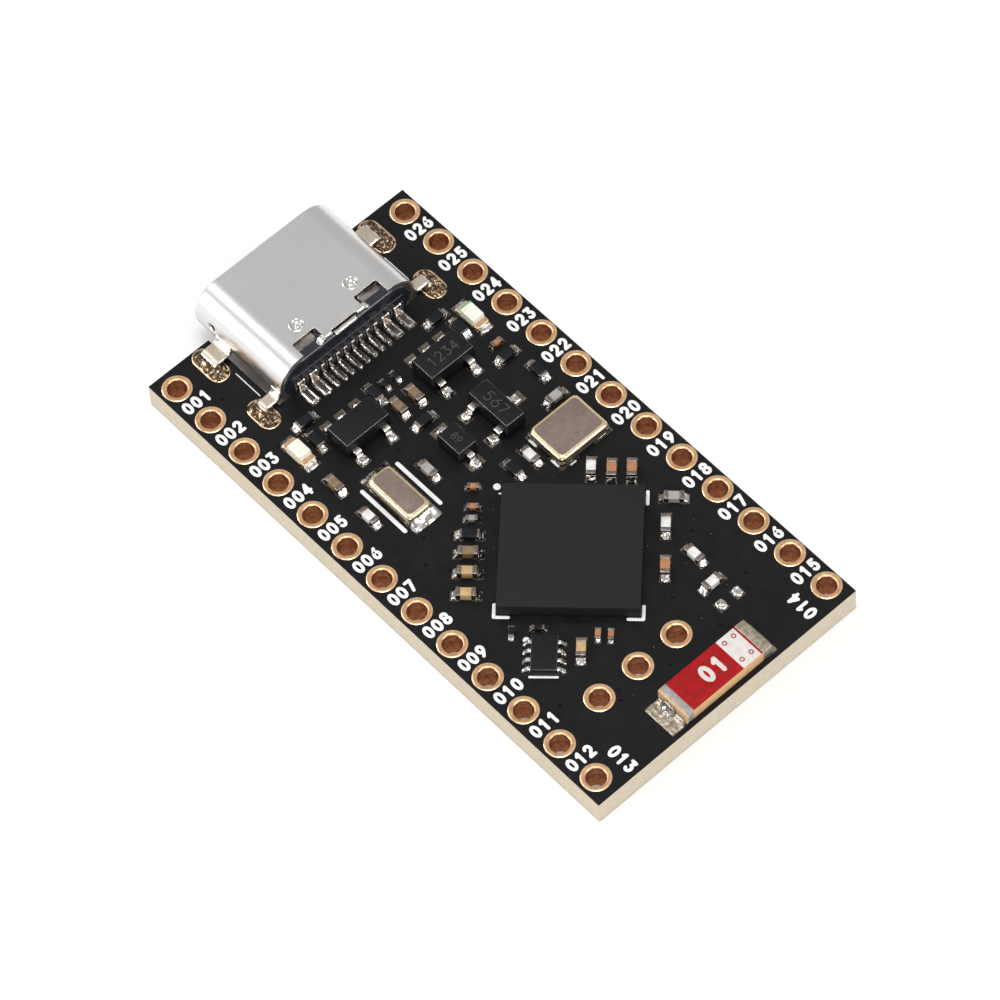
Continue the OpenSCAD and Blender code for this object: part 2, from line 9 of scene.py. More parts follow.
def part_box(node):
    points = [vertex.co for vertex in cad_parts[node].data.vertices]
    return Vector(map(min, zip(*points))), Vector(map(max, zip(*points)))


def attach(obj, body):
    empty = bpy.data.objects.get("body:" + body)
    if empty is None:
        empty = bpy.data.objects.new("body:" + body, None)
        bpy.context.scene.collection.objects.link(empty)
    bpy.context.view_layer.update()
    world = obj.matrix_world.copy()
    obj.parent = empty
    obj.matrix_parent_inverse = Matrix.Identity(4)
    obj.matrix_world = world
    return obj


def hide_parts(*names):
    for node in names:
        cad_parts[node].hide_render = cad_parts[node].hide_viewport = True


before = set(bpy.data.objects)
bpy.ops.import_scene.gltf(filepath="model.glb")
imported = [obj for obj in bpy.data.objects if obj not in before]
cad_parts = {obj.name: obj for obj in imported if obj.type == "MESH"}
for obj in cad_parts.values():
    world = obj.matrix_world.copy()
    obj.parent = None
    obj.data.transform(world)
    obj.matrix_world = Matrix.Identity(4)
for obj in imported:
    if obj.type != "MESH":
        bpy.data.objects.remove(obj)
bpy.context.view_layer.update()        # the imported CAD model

MM = 0.001
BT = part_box("solder_mask_top")[1][2] / MM          # top of the board, mm


def box_mm(node):
    lo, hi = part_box(node)
    return np.array(lo) / MM, np.array(hi) / MM


# ------------------------------------------------------------------ materials
def material(name, base, rough=0.5, metal=0.0, spec=0.5, tint=None, tint_scale=2500.0, tint_amount=0.5, tint_detail=3.0,
             rough_var=0.0, rough_scale=3000.0, bumps=(), coat=0.0, coat_rough=0.1, stretch=(1, 1, 1), transmission=0.0,
             subsurface=0.0, ior=None, contrast=(0.35, 0.65)):
    """Principled material with colour, roughness and relief from noise in the object's own coordinates.
    bumps: (kind, scale per metre, depth in metres)."""
    m = bpy.data.materials.new(name)
    m.use_nodes = True
    m.diffuse_color = (*base, 1)
    nt = m.node_tree
    n, l = nt.nodes, nt.links
    bs = n["Principled BSDF"]
    bs.inputs["Metallic"].default_value = metal
    bs.inputs["Specular IOR Level"].default_value = spec
    if ior:
        bs.inputs["IOR"].default_value = ior
    if coat:
        bs.inputs["Coat Weight"].default_value = coat
        bs.inputs["Coat Roughness"].default_value = coat_rough
    if transmission:
        bs.inputs["Transmission Weight"].default_value = transmission
    if subsurface:
        bs.inputs["Subsurface Weight"].default_value = subsurface
        bs.inputs["Subsurface Scale"].default_value = 0.0003
    tc = n.new("ShaderNodeTexCoord")
    mp = n.new("ShaderNodeMapping")
    mp.inputs["Scale"].default_value = stretch
    l.new(tc.outputs["Object"], mp.inputs["Vector"])
    vec = mp.outputs["Vector"]

    def noise_tex(scale, detail=3.0, rgh=0.55):
        t = n.new("ShaderNodeTexNoise")
        t.inputs["Scale"].default_value = scale
        t.inputs["Detail"].default_value = detail
        t.inputs["Roughness"].default_value = rgh
        l.new(vec, t.inputs["Vector"])
        return t

    if tint is None:
        tint = tuple(c * 0.82 for c in base)
    t = noise_tex(tint_scale, tint_detail)
    r = n.new("ShaderNodeMapRange")
    r.inputs["From Min"].default_value = contrast[0]
    r.inputs["From Max"].default_value = contrast[1]
    r.inputs["To Max"].default_value = tint_amount
    l.new(t.outputs[0], r.inputs["Value"])
    mx = n.new("ShaderNodeMix")
    mx.data_type = "RGBA"
    mx.inputs[6].default_value = (*base, 1)
    mx.inputs[7].default_value = (*tint, 1)
    l.new(r.outputs["Result"], mx.inputs[0])
    l.new(mx.outputs[2], bs.inputs["Base Color"])
    if rough_var:
        t2 = noise_tex(rough_scale, 4.0)
        r2 = n.new("ShaderNodeMapRange")
        r2.inputs["From Min"].default_value = 0.3
        r2.inputs["From Max"].default_value = 0.7
        r2.inputs["To Min"].default_value = max(rough - rough_var, 0.02)
        r2.inputs["To Max"].default_value = min(rough + rough_var, 1.0)
        l.new(t2.outputs[0], r2.inputs["Value"])
        l.new(r2.outputs["Result"], bs.inputs["Roughness"])
    else:
        bs.inputs["Roughness"].default_value = rough
    prev = None
    for kind, scale, depth in bumps:
        if kind == "noise":
            b = noise_tex(scale, 3.0, 0.6)
            out = b.outputs[0]
        elif kind == "voronoi":
            b = n.new("ShaderNodeTexVoronoi")
            b.inputs["Scale"].default_value = scale
            l.new(vec, b.inputs["Vector"])
            out = b.outputs["Distance"]
        else:
            b = n.new("ShaderNodeTexWave")
            b.inputs["Scale"].default_value = scale
            b.inputs["Distortion"].default_value = 2.0
            b.inputs["Detail"].default_value = 2.0
            b.bands_direction = kind[-1].upper()
            l.new(vec, b.inputs["Vector"])
            out = b.outputs[1]
        bp = n.new("ShaderNodeBump")
        bp.inputs["Strength"].default_value = 1.0
        bp.inputs["Distance"].default_value = depth
        l.new(out, bp.inputs["Height"])
        if prev is not None:
            l.new(prev, bp.inputs["Normal"])
        prev = bp.outputs["Normal"]
    if prev is not None:
        l.new(prev, bs.inputs["Normal"])
    return m


MAT = {}
MAT["mask"] = material("solder_mask_black", (0.0046, 0.0046, 0.0048), 0.38, spec=0.17, tint=(0.0078, 0.0078, 0.0080), tint_scale=900,
                       tint_amount=0.8, rough_var=0.07, rough_scale=1500,
                       bumps=[("noise", 900, 6e-6), ("noise", 9000, 1.2e-6)])
MAT["laminate"] = material("glass_laminate", (0.62, 0.54, 0.42), 0.72, tint=(0.50, 0.42, 0.31), tint_scale=2600, tint_amount=0.8,
                           stretch=(1, 1, 5), bumps=[("noise", 5200, 2.2e-5), ("wave_z", 900, 8e-6)], rough_var=0.1)
MAT["copper"] = material("ring_copper_gold", (0.80, 0.475, 0.245), 0.34, metal=1.0, tint=(0.66, 0.36, 0.17), tint_scale=3200,
                         tint_amount=0.75, rough_var=0.09, rough_scale=5200, bumps=[("noise", 5200, 5e-6)])
# Lighter copper on the rounded rims of the pin and slot rings: painted highlight.
MAT["copper_rim"] = material("ring_rim_painted_highlight", (0.90, 0.66, 0.44), 0.30, metal=1.0, tint=(0.80, 0.54, 0.33), tint_scale=4200,
                             tint_amount=0.7, rough_var=0.08, rough_scale=5200, bumps=[("noise", 6200, 4e-6)])
# The bore walls in bands: dark brown copper low down (painted shade), lighter copper in the upper bands (painted
# light).
MAT["copper_wall"] = material("bore_lower_painted_shade", (0.53, 0.215, 0.078), 0.38, metal=1.0, tint=(0.32, 0.105, 0.036), tint_scale=5200,
                              tint_amount=0.8, rough_var=0.12, rough_scale=5200, bumps=[("noise", 7200, 9e-6)])
MAT["wall_lip"] = material("bore_top_painted_light", (0.80, 0.47, 0.24), 0.34, metal=1.0, tint=(0.56, 0.26, 0.10), tint_scale=5200,
                           tint_amount=0.8, rough_var=0.10, rough_scale=5200, bumps=[("noise", 7200, 7e-6)])
MAT["wall_mid"] = material("bore_middle_painted_light", (0.74, 0.38, 0.17), 0.36, metal=1.0, tint=(0.46, 0.18, 0.07), tint_scale=5200,
                           tint_amount=0.8, rough_var=0.10, rough_scale=5200, bumps=[("noise", 7200, 9e-6)])
MAT["tin"] = material("tinned_land", (0.23, 0.19, 0.15), 0.32, metal=1.0, tint=(0.10, 0.08, 0.06), tint_scale=5200,
                      tint_amount=0.8, rough_var=0.12, rough_scale=7200, bumps=[("noise", 8200, 7e-6)])
MAT["solder"] = material("solder", (0.84, 0.82, 0.79), 0.18, metal=1.0, tint=(0.28, 0.235, 0.20), tint_scale=5200,
                         tint_amount=0.8, rough_var=0.09, rough_scale=7200, bumps=[("noise", 6200, 1.6e-5)])
# Dark brown solder with bright copper-toned specks from the noise: the specks are painted highlights.
MAT["slot_solder"] = material("slot_solder_brown_painted_glints", (0.085, 0.050, 0.026), 0.24, metal=0.85, tint=(0.60, 0.46, 0.32), tint_scale=5200,
                              tint_amount=1.0, rough_var=0.12, rough_scale=6200, contrast=(0.52, 0.62),
                              bumps=[("noise", 5600, 3.2e-5)])
MAT["terminal"] = material("chip_terminal", (0.30, 0.255, 0.225), 0.32, metal=1.0, tint=(0.16, 0.13, 0.11), tint_scale=6200,
                           tint_amount=0.8, rough_var=0.10, rough_scale=7200, bumps=[("noise", 9200, 9e-6)])
MAT["steel"] = material("shell_satin_steel", (0.735, 0.725, 0.71), 0.30, metal=1.0, tint=(0.69, 0.68, 0.665), tint_scale=260,
                        tint_amount=0.5, rough_var=0.012, rough_scale=7000,
                        bumps=[("noise", 9000, 4e-7), ("noise", 600, 1.2e-6)])
# Lighter, glossier copy of the shell steel for bevels, the mouth lip, leg bends, spring tongues, punched-mark rings and
# tail chamfers: painted highlight.
MAT["steel_painted_highlight"] = material("shell_steel_lighter_painted_highlight", (0.82, 0.81, 0.79), 0.18, metal=1.0, tint=(0.70, 0.69, 0.67), tint_scale=1600,
                             tint_amount=0.7, rough_var=0.05, rough_scale=6000, bumps=[("noise", 5200, 4e-6)])
MAT["leg_flat"] = material("leg_flat_tan", (0.74, 0.64, 0.52), 0.30, metal=1.0, tint=(0.64, 0.53, 0.42), tint_scale=1500,
                           tint_amount=0.7, rough_var=0.06, rough_scale=6000, bumps=[("noise", 6200, 4e-6)])
MAT["housing"] = material("connector_black", (0.010, 0.011, 0.016), 0.22, spec=0.62, tint=(0.016, 0.017, 0.024), tint_scale=1800,
                          tint_amount=0.8, rough_var=0.07, rough_scale=3800, bumps=[("noise", 3200, 6e-6)])
MAT["gold"] = material("contact_gold", (0.90, 0.66, 0.30), 0.24, metal=1.0, tint=(0.80, 0.55, 0.22), tint_scale=3200,
                       tint_amount=0.6, rough_var=0.06, rough_scale=6200, bumps=[("noise", 7200, 3e-6)])
MAT["tail"] = material("tail_tin", (0.80, 0.77, 0.74), 0.20, metal=1.0, tint=(0.50, 0.42, 0.34), tint_scale=3600,
                       tint_amount=0.8, rough_var=0.08, rough_scale=7200, stretch=(3, 1, 1), bumps=[("noise", 6200, 5e-6)])
# A dark copy of the tail tin for the flat faces between bright edges: painted shade.
MAT["tail_flat_painted_shade"] = material("tail_flat_painted_shade", (0.27, 0.23, 0.20), 0.24, metal=1.0, tint=(0.13, 0.105, 0.09), tint_scale=3600,
                            tint_amount=0.9, rough_var=0.08, rough_scale=7200, bumps=[("noise", 6200, 5e-6)])
MAT["mould"] = material("mould_compound", (0.0048, 0.0048, 0.0050), 0.46, spec=0.20, tint=(0.0078, 0.0078, 0.0082), tint_scale=9000,
                        tint_amount=0.8, rough_var=0.08, rough_scale=9000, bumps=[("noise", 16000, 3.5e-6)])
MAT["mcu"] = material("mcu_compound", (0.0100, 0.0100, 0.0094), 0.62, spec=0.20, tint=(0.0122, 0.0122, 0.0115), tint_scale=11000,
                      tint_amount=0.9, rough_var=0.06, rough_scale=11000, bumps=[("noise", 17000, 3.2e-6), ("noise", 700, 2e-6)])
MAT["marking"] = material("laser_marking", (0.034, 0.033, 0.032), 0.75, tint=(0.055, 0.055, 0.052), tint_scale=14000, tint_amount=0.9,
                          rough_var=0.08, bumps=[("noise", 16000, 3e-6)])
# Lighter, glossier grey for the upward-facing rounded edges of the moulded bodies and for the housing ribs: painted
# highlight.
MAT["mould_painted_highlight"] = material("mould_grey_painted_highlight", (0.062, 0.061, 0.060), 0.24, spec=0.85, tint=(0.026, 0.026, 0.026), tint_scale=9000,
                             tint_amount=0.8, rough_var=0.06, rough_scale=9000, bumps=[("noise", 12000, 2e-6)])
MAT["shade"] = material("steel_in_shadow", (0.135, 0.092, 0.070), 0.34, metal=1.0, tint=(0.085, 0.056, 0.042), tint_scale=2200,
                        tint_amount=0.8, rough_var=0.08, rough_scale=5200, bumps=[("noise", 5200, 5e-6)])
# Blotchy steel, mid grey with near-black patches, for the wide springs seen in the windows: painted shade.
MAT["spring"] = material("window_spring", (0.50, 0.45, 0.41), 0.24, metal=1.0, tint=(0.070, 0.056, 0.050), tint_scale=1300,
                         tint_amount=1.0, rough_var=0.08, rough_scale=4200, bumps=[("noise", 2600, 5e-6)])
# Near-black discs in the via dimples and specks: painted shade.
MAT["pit"] = material("via_pit_painted_shade", (0.0012, 0.0012, 0.0013), 0.30, spec=0.12, tint=(0.003, 0.003, 0.003), tint_scale=9000,
                      bumps=[("noise", 7000, 8e-6)])
MAT["silicon"] = material("silicon", (0.16, 0.17, 0.20), 0.15, metal=0.6, tint=(0.10, 0.12, 0.16), tint_scale=3000, bumps=[("noise", 6000, 1e-6)])
MAT["ceramic_dark"] = material("crystal_tray", (0.085, 0.068, 0.055), 0.55, tint=(0.05, 0.04, 0.034), tint_scale=6200, tint_amount=0.8,
                               rough_var=0.1, bumps=[("noise", 7200, 7e-6)])
MAT["quartz"] = material("quartz", (0.75, 0.80, 0.80), 0.12, transmission=0.6, tint=(0.6, 0.66, 0.66), bumps=[("noise", 6000, 1e-6)])
MAT["lid"] = material("crystal_lid_rose", (0.36, 0.275, 0.240), 0.36, metal=1.0, tint=(0.29, 0.215, 0.185), tint_scale=1500,
                      tint_amount=0.8, rough_var=0.06, rough_scale=4200, bumps=[("noise", 5200, 4e-6), ("noise", 900, 3e-6)])
# Pale gold on the lid's flange and rounded shoulder: painted highlight.
MAT["lid_rim"] = material("crystal_rim_painted_highlight", (0.92, 0.77, 0.50), 0.26, metal=1.0, tint=(0.82, 0.62, 0.34), tint_scale=1600,
                          tint_amount=0.8, rough_var=0.03, rough_scale=3200, bumps=[("noise", 2200, 6e-7)])
MAT["led_base"] = material("led_base", (0.72, 0.66, 0.50), 0.5, tint=(0.62, 0.54, 0.38), tint_scale=4200, rough_var=0.1,
                           bumps=[("noise", 7200, 7e-6)])
MAT["led_lens"] = material("led_lens", (0.86, 0.84, 0.76), 0.20, subsurface=0.3, tint=(0.70, 0.66, 0.56), tint_scale=3600,
                           tint_amount=0.8, rough_var=0.06, bumps=[("noise", 4200, 8e-6)])
MAT["led_mark"] = material("led_mark_green", (0.05, 0.42, 0.26), 0.4, tint=(0.03, 0.30, 0.18), tint_scale=6000, bumps=[("noise", 7200, 5e-6)])
MAT["led_gold"] = material("led_terminal", (0.84, 0.60, 0.38), 0.26, metal=1.0, tint=(0.70, 0.45, 0.26), tint_scale=4200,
                           tint_amount=0.8, rough_var=0.1, bumps=[("noise", 7200, 8e-6)])
MAT["ant_core"] = material("antenna_ceramic", (0.60, 0.375, 0.175), 0.55, tint=(0.50, 0.29, 0.125), tint_scale=2600, tint_amount=0.8,
                           rough_var=0.1, bumps=[("noise", 5200, 1.0e-5)])
MAT["ant_red"] = material("antenna_red", (0.36, 0.0045, 0.0060), 0.34, spec=0.22, tint=(0.27, 0.003, 0.004), tint_scale=2400,
                          tint_amount=0.9, rough_var=0.08, rough_scale=4200, bumps=[("noise", 4200, 6e-6)])
MAT["ant_red_dark"] = material("antenna_dots", (0.085, 0.004, 0.006), 0.4, tint=(0.16, 0.006, 0.008), tint_scale=7000,
                               bumps=[("noise", 7200, 5e-6)])
MAT["ant_white"] = material("antenna_white", (0.66, 0.62, 0.59), 0.45, tint=(0.56, 0.52, 0.49), tint_scale=3200, tint_amount=0.8,
                            rough_var=0.08, bumps=[("noise", 5200, 6e-6)])
MAT["ant_ring"] = material("antenna_ring", (0.36, 0.05, 0.06), 0.4, tint=(0.24, 0.03, 0.04), tint_scale=7000, bumps=[("noise", 7200, 5e-6)])
MAT["ant_silver"] = material("antenna_silver", (0.47, 0.42, 0.34), 0.40, metal=0.85, tint=(0.26, 0.21, 0.15), tint_scale=4200,
                             tint_amount=0.9, rough_var=0.12, rough_scale=5200, bumps=[("noise", 5200, 1.6e-5)])
MAT["ant_grey"] = material("antenna_grey", (0.40, 0.38, 0.37), 0.45, metal=0.5, tint=(0.30, 0.275, 0.26), tint_scale=4200,
                           tint_amount=0.9, rough_var=0.1, bumps=[("noise", 5200, 1.0e-5)])
MAT["ant_cream"] = material("antenna_cream", (0.60, 0.43, 0.25), 0.5, tint=(0.44, 0.30, 0.16), tint_scale=4200, tint_amount=0.9,
                            bumps=[("noise", 5200, 1.2e-5)])
MAT["tan"] = material("capacitor_tan", (0.235, 0.155, 0.080), 0.42, tint=(0.165, 0.105, 0.052), tint_scale=3600, tint_amount=0.9,
                      rough_var=0.1, bumps=[("noise", 8200, 7e-6)])
MAT["tan_light"] = material("capacitor_tan_light", (0.50, 0.36, 0.17), 0.40, tint=(0.40, 0.27, 0.12), tint_scale=3600, tint_amount=0.9,
                            rough_var=0.1, bumps=[("noise", 8200, 7e-6)])
MAT["orange"] = material("capacitor_orange", (0.42, 0.19, 0.085), 0.42, tint=(0.32, 0.13, 0.055), tint_scale=3600, tint_amount=0.9,
                         rough_var=0.1, bumps=[("noise", 8200, 7e-6)])
MAT["white"] = material("inductor_white", (0.74, 0.73, 0.715), 0.38, tint=(0.52, 0.50, 0.485), tint_scale=3000, tint_amount=0.8,
                        rough_var=0.1, bumps=[("noise", 7200, 8e-6)])
MAT["grey"] = material("inductor_grey", (0.36, 0.345, 0.335), 0.42, tint=(0.24, 0.225, 0.215), tint_scale=3000, tint_amount=0.8,
                       rough_var=0.1, bumps=[("noise", 7200, 8e-6)])
MAT["alumina"] = material("resistor_alumina", (0.62, 0.61, 0.60), 0.5, tint=(0.48, 0.47, 0.46), tint_scale=4200, bumps=[("noise", 8200, 6e-6)])
MAT["glaze"] = material("resistor_glaze", (0.0045, 0.0048, 0.0065), 0.28, spec=0.26, tint=(0.0075, 0.008, 0.0105), tint_scale=4200,
                        tint_amount=0.8, rough_var=0.08, bumps=[("noise", 6200, 6e-6)])
MAT["ink"] = material("white_ink", (0.86, 0.86, 0.85), 0.55, tint=(0.74, 0.74, 0.735), tint_scale=5200, tint_amount=0.8,
                      rough_var=0.1, bumps=[("noise", 9200, 6e-6)])

# materials for the CAD parts that are kept
CAD_MATS = {
    "board_laminate": "laminate", "solder_mask_top": "mask", "solder_mask_bottom": "mask", "via_barrels": "copper",
    "smd_pads": "tin", "usb_mid_plate": "steel", "mcu_die": "silicon", "mcu_lands": "tin",
    "watch_crystal_blank": "quartz", "main_crystal_blank": "quartz",
}
for node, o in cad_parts.items():
    key = CAD_MATS.get(node)
    if key:
        o.data.materials.clear()
        o.data.materials.append(MAT[key])


# ------------------------------------------------------------------ mesh tools (all lengths in mm)
class Shape:
    """Vertices and faces in mm, with one material index per face."""

    def __init__(self):
        self.v, self.f, self.k = [], [], []

    def add(self, v, f, k=0, at=None):
        v = np.asarray(v, float)
        if at is not None:
            v = v @ at[0].T + at[1]
        b = len(self.v)
        self.v.extend(map(tuple, v))
        self.f.extend(tuple(b + i for i in q) for q in f)
        self.k.extend([k] * len(f) if isinstance(k, int) else k)

    def make(self, name, mats, slot, nodes=(), angle=35, subdiv=0):
        me = bpy.data.meshes.new(name)
        me.from_pydata([(x * MM, y * MM, z * MM) for x, y, z in self.v], [], self.f)
        for m in mats:
            me.materials.append(MAT[m])
        me.polygons.foreach_set("material_index", self.k)
        bm = bmesh.new()
        bm.from_mesh(me)
        bmesh.ops.recalc_face_normals(bm, faces=bm.faces)
        bm.to_mesh(me)
        bm.free()
        me.polygons.foreach_set("use_smooth", [True] * len(me.polygons))
        me.set_sharp_from_angle(angle=math.radians(angle))
        o = bpy.data.objects.new(name, me)
        bpy.context.collection.objects.link(o)
        return finish_piece(o, nodes)


def finish_piece(o, nodes=()):
    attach(o, "root")
    if nodes:
        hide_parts(*nodes)
    return o


def place(x=0, y=0, z=0, deg=0):
    a = math.radians(deg)
    r = np.array([[math.cos(a), -math.sin(a), 0], [math.sin(a), math.cos(a), 0], [0, 0, 1]])
    return r, np.array([x, y, z], float)


_rbox = {}


def rbox(sx, sy, sz, r, seg=2, div=(1, 1, 1)):
    """Rounded box centred on the origin."""
    key = (round(sx, 4), round(sy, 4), round(sz, 4), round(r, 4), seg, div)
    if key in _rbox:
        return _rbox[key]
    half = np.array([sx, sy, sz]) / 2 - r

    def line(h, n):
        a = [(-h, -45 + 45 * i / seg) for i in range(seg)]
        a += [(-h + 2 * h * i / n, 0.0) for i in range(n + 1)]
        return a + [(h, 45 * (i + 1) / seg) for i in range(seg)]

    lines = [line(half[i], div[i]) for i in range(3)]
    verts, index, faces = [], {}, []
    for axis in range(3):
        b, c = (axis + 1) % 3, (axis + 2) % 3
        for s in (-1, 1):
            grid = []
            for ub, tb in lines[b]:
                row = []
                for uc, tc in lines[c]:
                    n = np.zeros(3)
                    n[axis], n[b], n[c] = s, math.tan(math.radians(tb)), math.tan(math.radians(tc))
                    n /= np.linalg.norm(n)
                    p = np.zeros(3)
                    p[axis], p[b], p[c] = s * half[axis], ub, uc
                    p = p + r * n
                    q = tuple(np.round(p, 6) + 0.0)
                    if q not in index:
                        index[q] = len(verts)
                        verts.append(p)
                    row.append(index[q])
                grid.append(row)
            for i in range(len(grid) - 1):
                for j in range(len(grid[0]) - 1):
                    q = [grid[i][j], grid[i + 1][j], grid[i + 1][j + 1], grid[i][j + 1]]
                    faces.append(tuple(q if s > 0 else q[::-1]))
    _rbox[key] = (np.array(verts), faces)
    return _rbox[key]


def rough_up(v, amount, scale, seed):
    """Moves vertices by smooth noise, so that a dipped or cast part isn't perfect."""
    out = np.array(v, float)
    for i, p in enumerate(out):
        q = Vector((p[0] * scale + seed * 7.3, p[1] * scale - seed * 3.1, p[2] * scale + seed * 1.7))
        out[i] = p + np.array(noise.noise_vector(q)) * amount
    return out


def fillet_path(points, r, seg=5):
    """A polyline with its inner corners rounded."""
    pts = [np.array(p, float) for p in points]
    out = [pts[0]]
    for a, b, c in zip(pts, pts[1:], pts[2:]):
        u, w = (a - b) / np.linalg.norm(a - b), (c - b) / np.linalg.norm(c - b)
        cosv = float(np.clip(u @ w, -1, 1))
        half = math.acos(cosv) / 2
        if half > math.radians(88):
            out.append(b)
            continue
        t = min(r / math.tan(half), np.linalg.norm(a - b) * 0.48, np.linalg.norm(c - b) * 0.48)
        p0, p1 = b + u * t, b + w * t
        for i in range(seg + 1):
            s = i / seg
            out.append((1 - s) ** 2 * p0 + 2 * s * (1 - s) * b + s * s * p1)
    out.append(pts[-1])
    return out


def strap(path, width, thick, chamfer, side=(0, 1, 0), widths=None):
    """A flat strip with chamfered edges along a path of 3-D points; side is the strip's width direction."""
    pts = [np.array(p, float) for p in path]
    s = np.array(side, float)
    n = len(pts)
    v, f = [], []
    c = chamfer
    for i, p in enumerate(pts):
        w = (widths[i] if widths else width) / 2
        t0 = pts[i] - pts[i - 1] if i else pts[1] - pts[0]
        t1 = pts[i + 1] - pts[i] if i < n - 1 else t0
        t0, t1 = t0 / np.linalg.norm(t0), t1 / np.linalg.norm(t1)
        t = t0 + t1
        t /= np.linalg.norm(t)
        nn = np.cross(t, s)
        nn /= np.linalg.norm(nn)
        k = 1 / max(t @ t0, 0.5)
        h = thick / 2
        for a, b in ((-w, -h + c), (-w + c, -h), (w - c, -h), (w, -h + c), (w, h - c), (w - c, h), (-w + c, h), (-w, h - c)):
            v.append(p + s * a + nn * b * k)
    for i in range(n - 1):
        for j in range(8):
            f.append((i * 8 + j, i * 8 + (j + 1) % 8, (i + 1) * 8 + (j + 1) % 8, (i + 1) * 8 + j))
    f.append(tuple(range(7, -1, -1)))
    f.append(tuple((n - 1) * 8 + j for j in range(8)))
    return np.array(v), f


def lathe(profile, seg=40):
    """A closed profile of (r, z) turned round the z axis."""
    n = len(profile)
    v, f = [], []
    for i in range(seg):
        a = 2 * math.pi * i / seg
        v += [(r * math.cos(a), r * math.sin(a), z) for r, z in profile]
    for i in range(seg):
        for j in range(n):
            a, b = i * n + j, i * n + (j + 1) % n
            c, d = ((i + 1) % seg) * n + (j + 1) % n, ((i + 1) % seg) * n + j
            f.append((a, b, c, d))
    return np.array(v), f


def disc(r, h, bevel, seg=24):
    """A low closed button with a rounded top edge."""
    rows = [(r, 0.0), (r, h - bevel), (r - bevel * 0.3, h - bevel * 0.3), (r - bevel, h)]
    v, f = [], []
    for rr, z in rows:
        v += [(rr * math.cos(2 * math.pi * i / seg), rr * math.sin(2 * math.pi * i / seg), z) for i in range(seg)]
    for k in range(len(rows) - 1):
        for i in range(seg):
            f.append((k * seg + i, k * seg + (i + 1) % seg, (k + 1) * seg + (i + 1) % seg, (k + 1) * seg + i))
    f.append(tuple(range(seg - 1, -1, -1)))
    f.append(tuple((len(rows) - 1) * seg + i for i in range(seg)))
    return np.array(v), f


def rect_distance(u, v, r):
    du = max(r[0] - u, 0, u - r[1])
    dv = max(r[2] - v, 0, v - r[3])
    return math.hypot(du, dv)


def solder_field(lx, ly, climbs, base=0.035, n=(13, 11), seed=0, lumps=0.02, corner=0.7, wobble=0.03, freq=6.0):
    """Solder on a land of lx by ly: a domed skin that climbs the faces in climbs, each (u0, u1, v0, v1, height, reach)."""
    nx, ny = n
    v, f = [], []
    for i in range(nx):
        for j in range(ny):
            s, t = -1 + 2 * i / (nx - 1), -1 + 2 * j / (ny - 1)
            u = s * math.sqrt(1 - corner * t * t / 2) * lx / 2
            w = t * math.sqrt(1 - corner * s * s / 2) * ly / 2
            q = Vector((u * freq + seed * 3.7, w * freq - seed * 5.1, seed * 1.3))
            e = min(1.0, (1 - max(abs(s), abs(t))) / 0.34)
            e = math.sqrt(max(0.0, 1 - (1 - e) ** 2))
            z = base * e
            for u0, u1, v0, v1, h, reach in climbs:
                d = rect_distance(u, w, (u0, u1, v0, v1)) / reach
                if d < 1:
                    z = max(z, base * e + (h - base) * (1 - d) ** 1.7 * e ** 0.6)
            z += lumps * (0.5 + noise.noise(q)) * e
            k = 1 + wobble * noise.noise(q * 1.3 + Vector((9, 4, 2))) * 2
            v.append((u * k, w * k, max(z, 0.0)))
    for i in range(nx - 1):
        for j in range(ny - 1):
            f.append((i * ny + j, (i + 1) * ny + j, (i + 1) * ny + j + 1, i * ny + j + 1))
    rim = [i * ny for i in range(nx)] + [(nx - 1) * ny + j for j in range(1, ny)]
    rim += [i * ny + ny - 1 for i in range(nx - 2, -1, -1)] + [j for j in range(ny - 2, 0, -1)]
    f.append(tuple(rim[::-1]))
    return np.array(v), f


def islands(node):
    """Vertices, in mm, of each separate solid in a CAD node."""
    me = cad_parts[node].data
    co = np.empty(len(me.vertices) * 3)
    me.vertices.foreach_get("co", co)
    co = co.reshape(-1, 3) / MM
    uniq, inv = np.unique(np.round(co, 4), axis=0, return_inverse=True)
    inv = inv.reshape(-1)
    parent = list(range(len(uniq)))

    def find(a):
        while parent[a] != a:
            parent[a] = parent[parent[a]]
            a = parent[a]
        return a

    for p in me.polygons:
        ids = [find(int(inv[i])) for i in p.vertices]
        for j in ids[1:]:
            parent[find(j)] = find(ids[0])
    groups = {}
    for i in range(len(uniq)):
        groups.setdefault(find(i), []).append(i)
    return [uniq[g] for g in groups.values()]


def rect_of(points):
    """(x, y, degrees of the long axis, length, width, z low, z high) of a box-shaped solid."""
    xy = np.unique(np.round(points[:, :2], 3), axis=0)
    c = (xy.min(0) + xy.max(0)) / 2
    best = None
    for deg in (0, 45, 90, 135):
        a = math.radians(deg)
        r = np.array([[math.cos(a), math.sin(a)], [-math.sin(a), math.cos(a)]])
        q = (xy - c) @ r.T
        size = q.max(0) - q.min(0)
        area = size[0] * size[1]
        if best is None or area < best[0] - 1e-3 or (abs(area - best[0]) < 1e-3 and size[0] > best[2][0] + 1e-3):
            best = (area, deg, size)
    return c[0], c[1], best[1], best[2][0], best[2][1], points[:, 2].min(), points[:, 2].max()


def chips(node):
    out = [rect_of(p) for p in islands(node)]
    out.sort(key=lambda c: (round(c[0], 2), round(c[1], 2)))
    return out


# ------------------------------------------------------------------ two-terminal chips
terminals, solder = Shape(), Shape()
ind_terminals, res_terminals = Shape(), Shape()


def ends(c, shape, term, seed, over=0.0, k=0, r=0.05, h=None):
    """The two wrapped ends of a chip."""
    x, y, deg, lb, wb, z0, z1 = c
    h = h or (z1 - z0)
    w = wb + over
    full = lb + 2 * term
    for s in (-1, 1):
        v, f = rbox(term + 0.03, w, h + over * 0.5, min(r, term * 0.45), 2, (2, 3, 2))
        v = rough_up(v, 0.014, 7, seed + s)
        at = place(x, y, z0 + (h + over * 0.5) / 2, deg)
        v = v + np.array([s * (full / 2 - term / 2 - 0.005), 0, 0])
        shape.add(v, f, k, at)


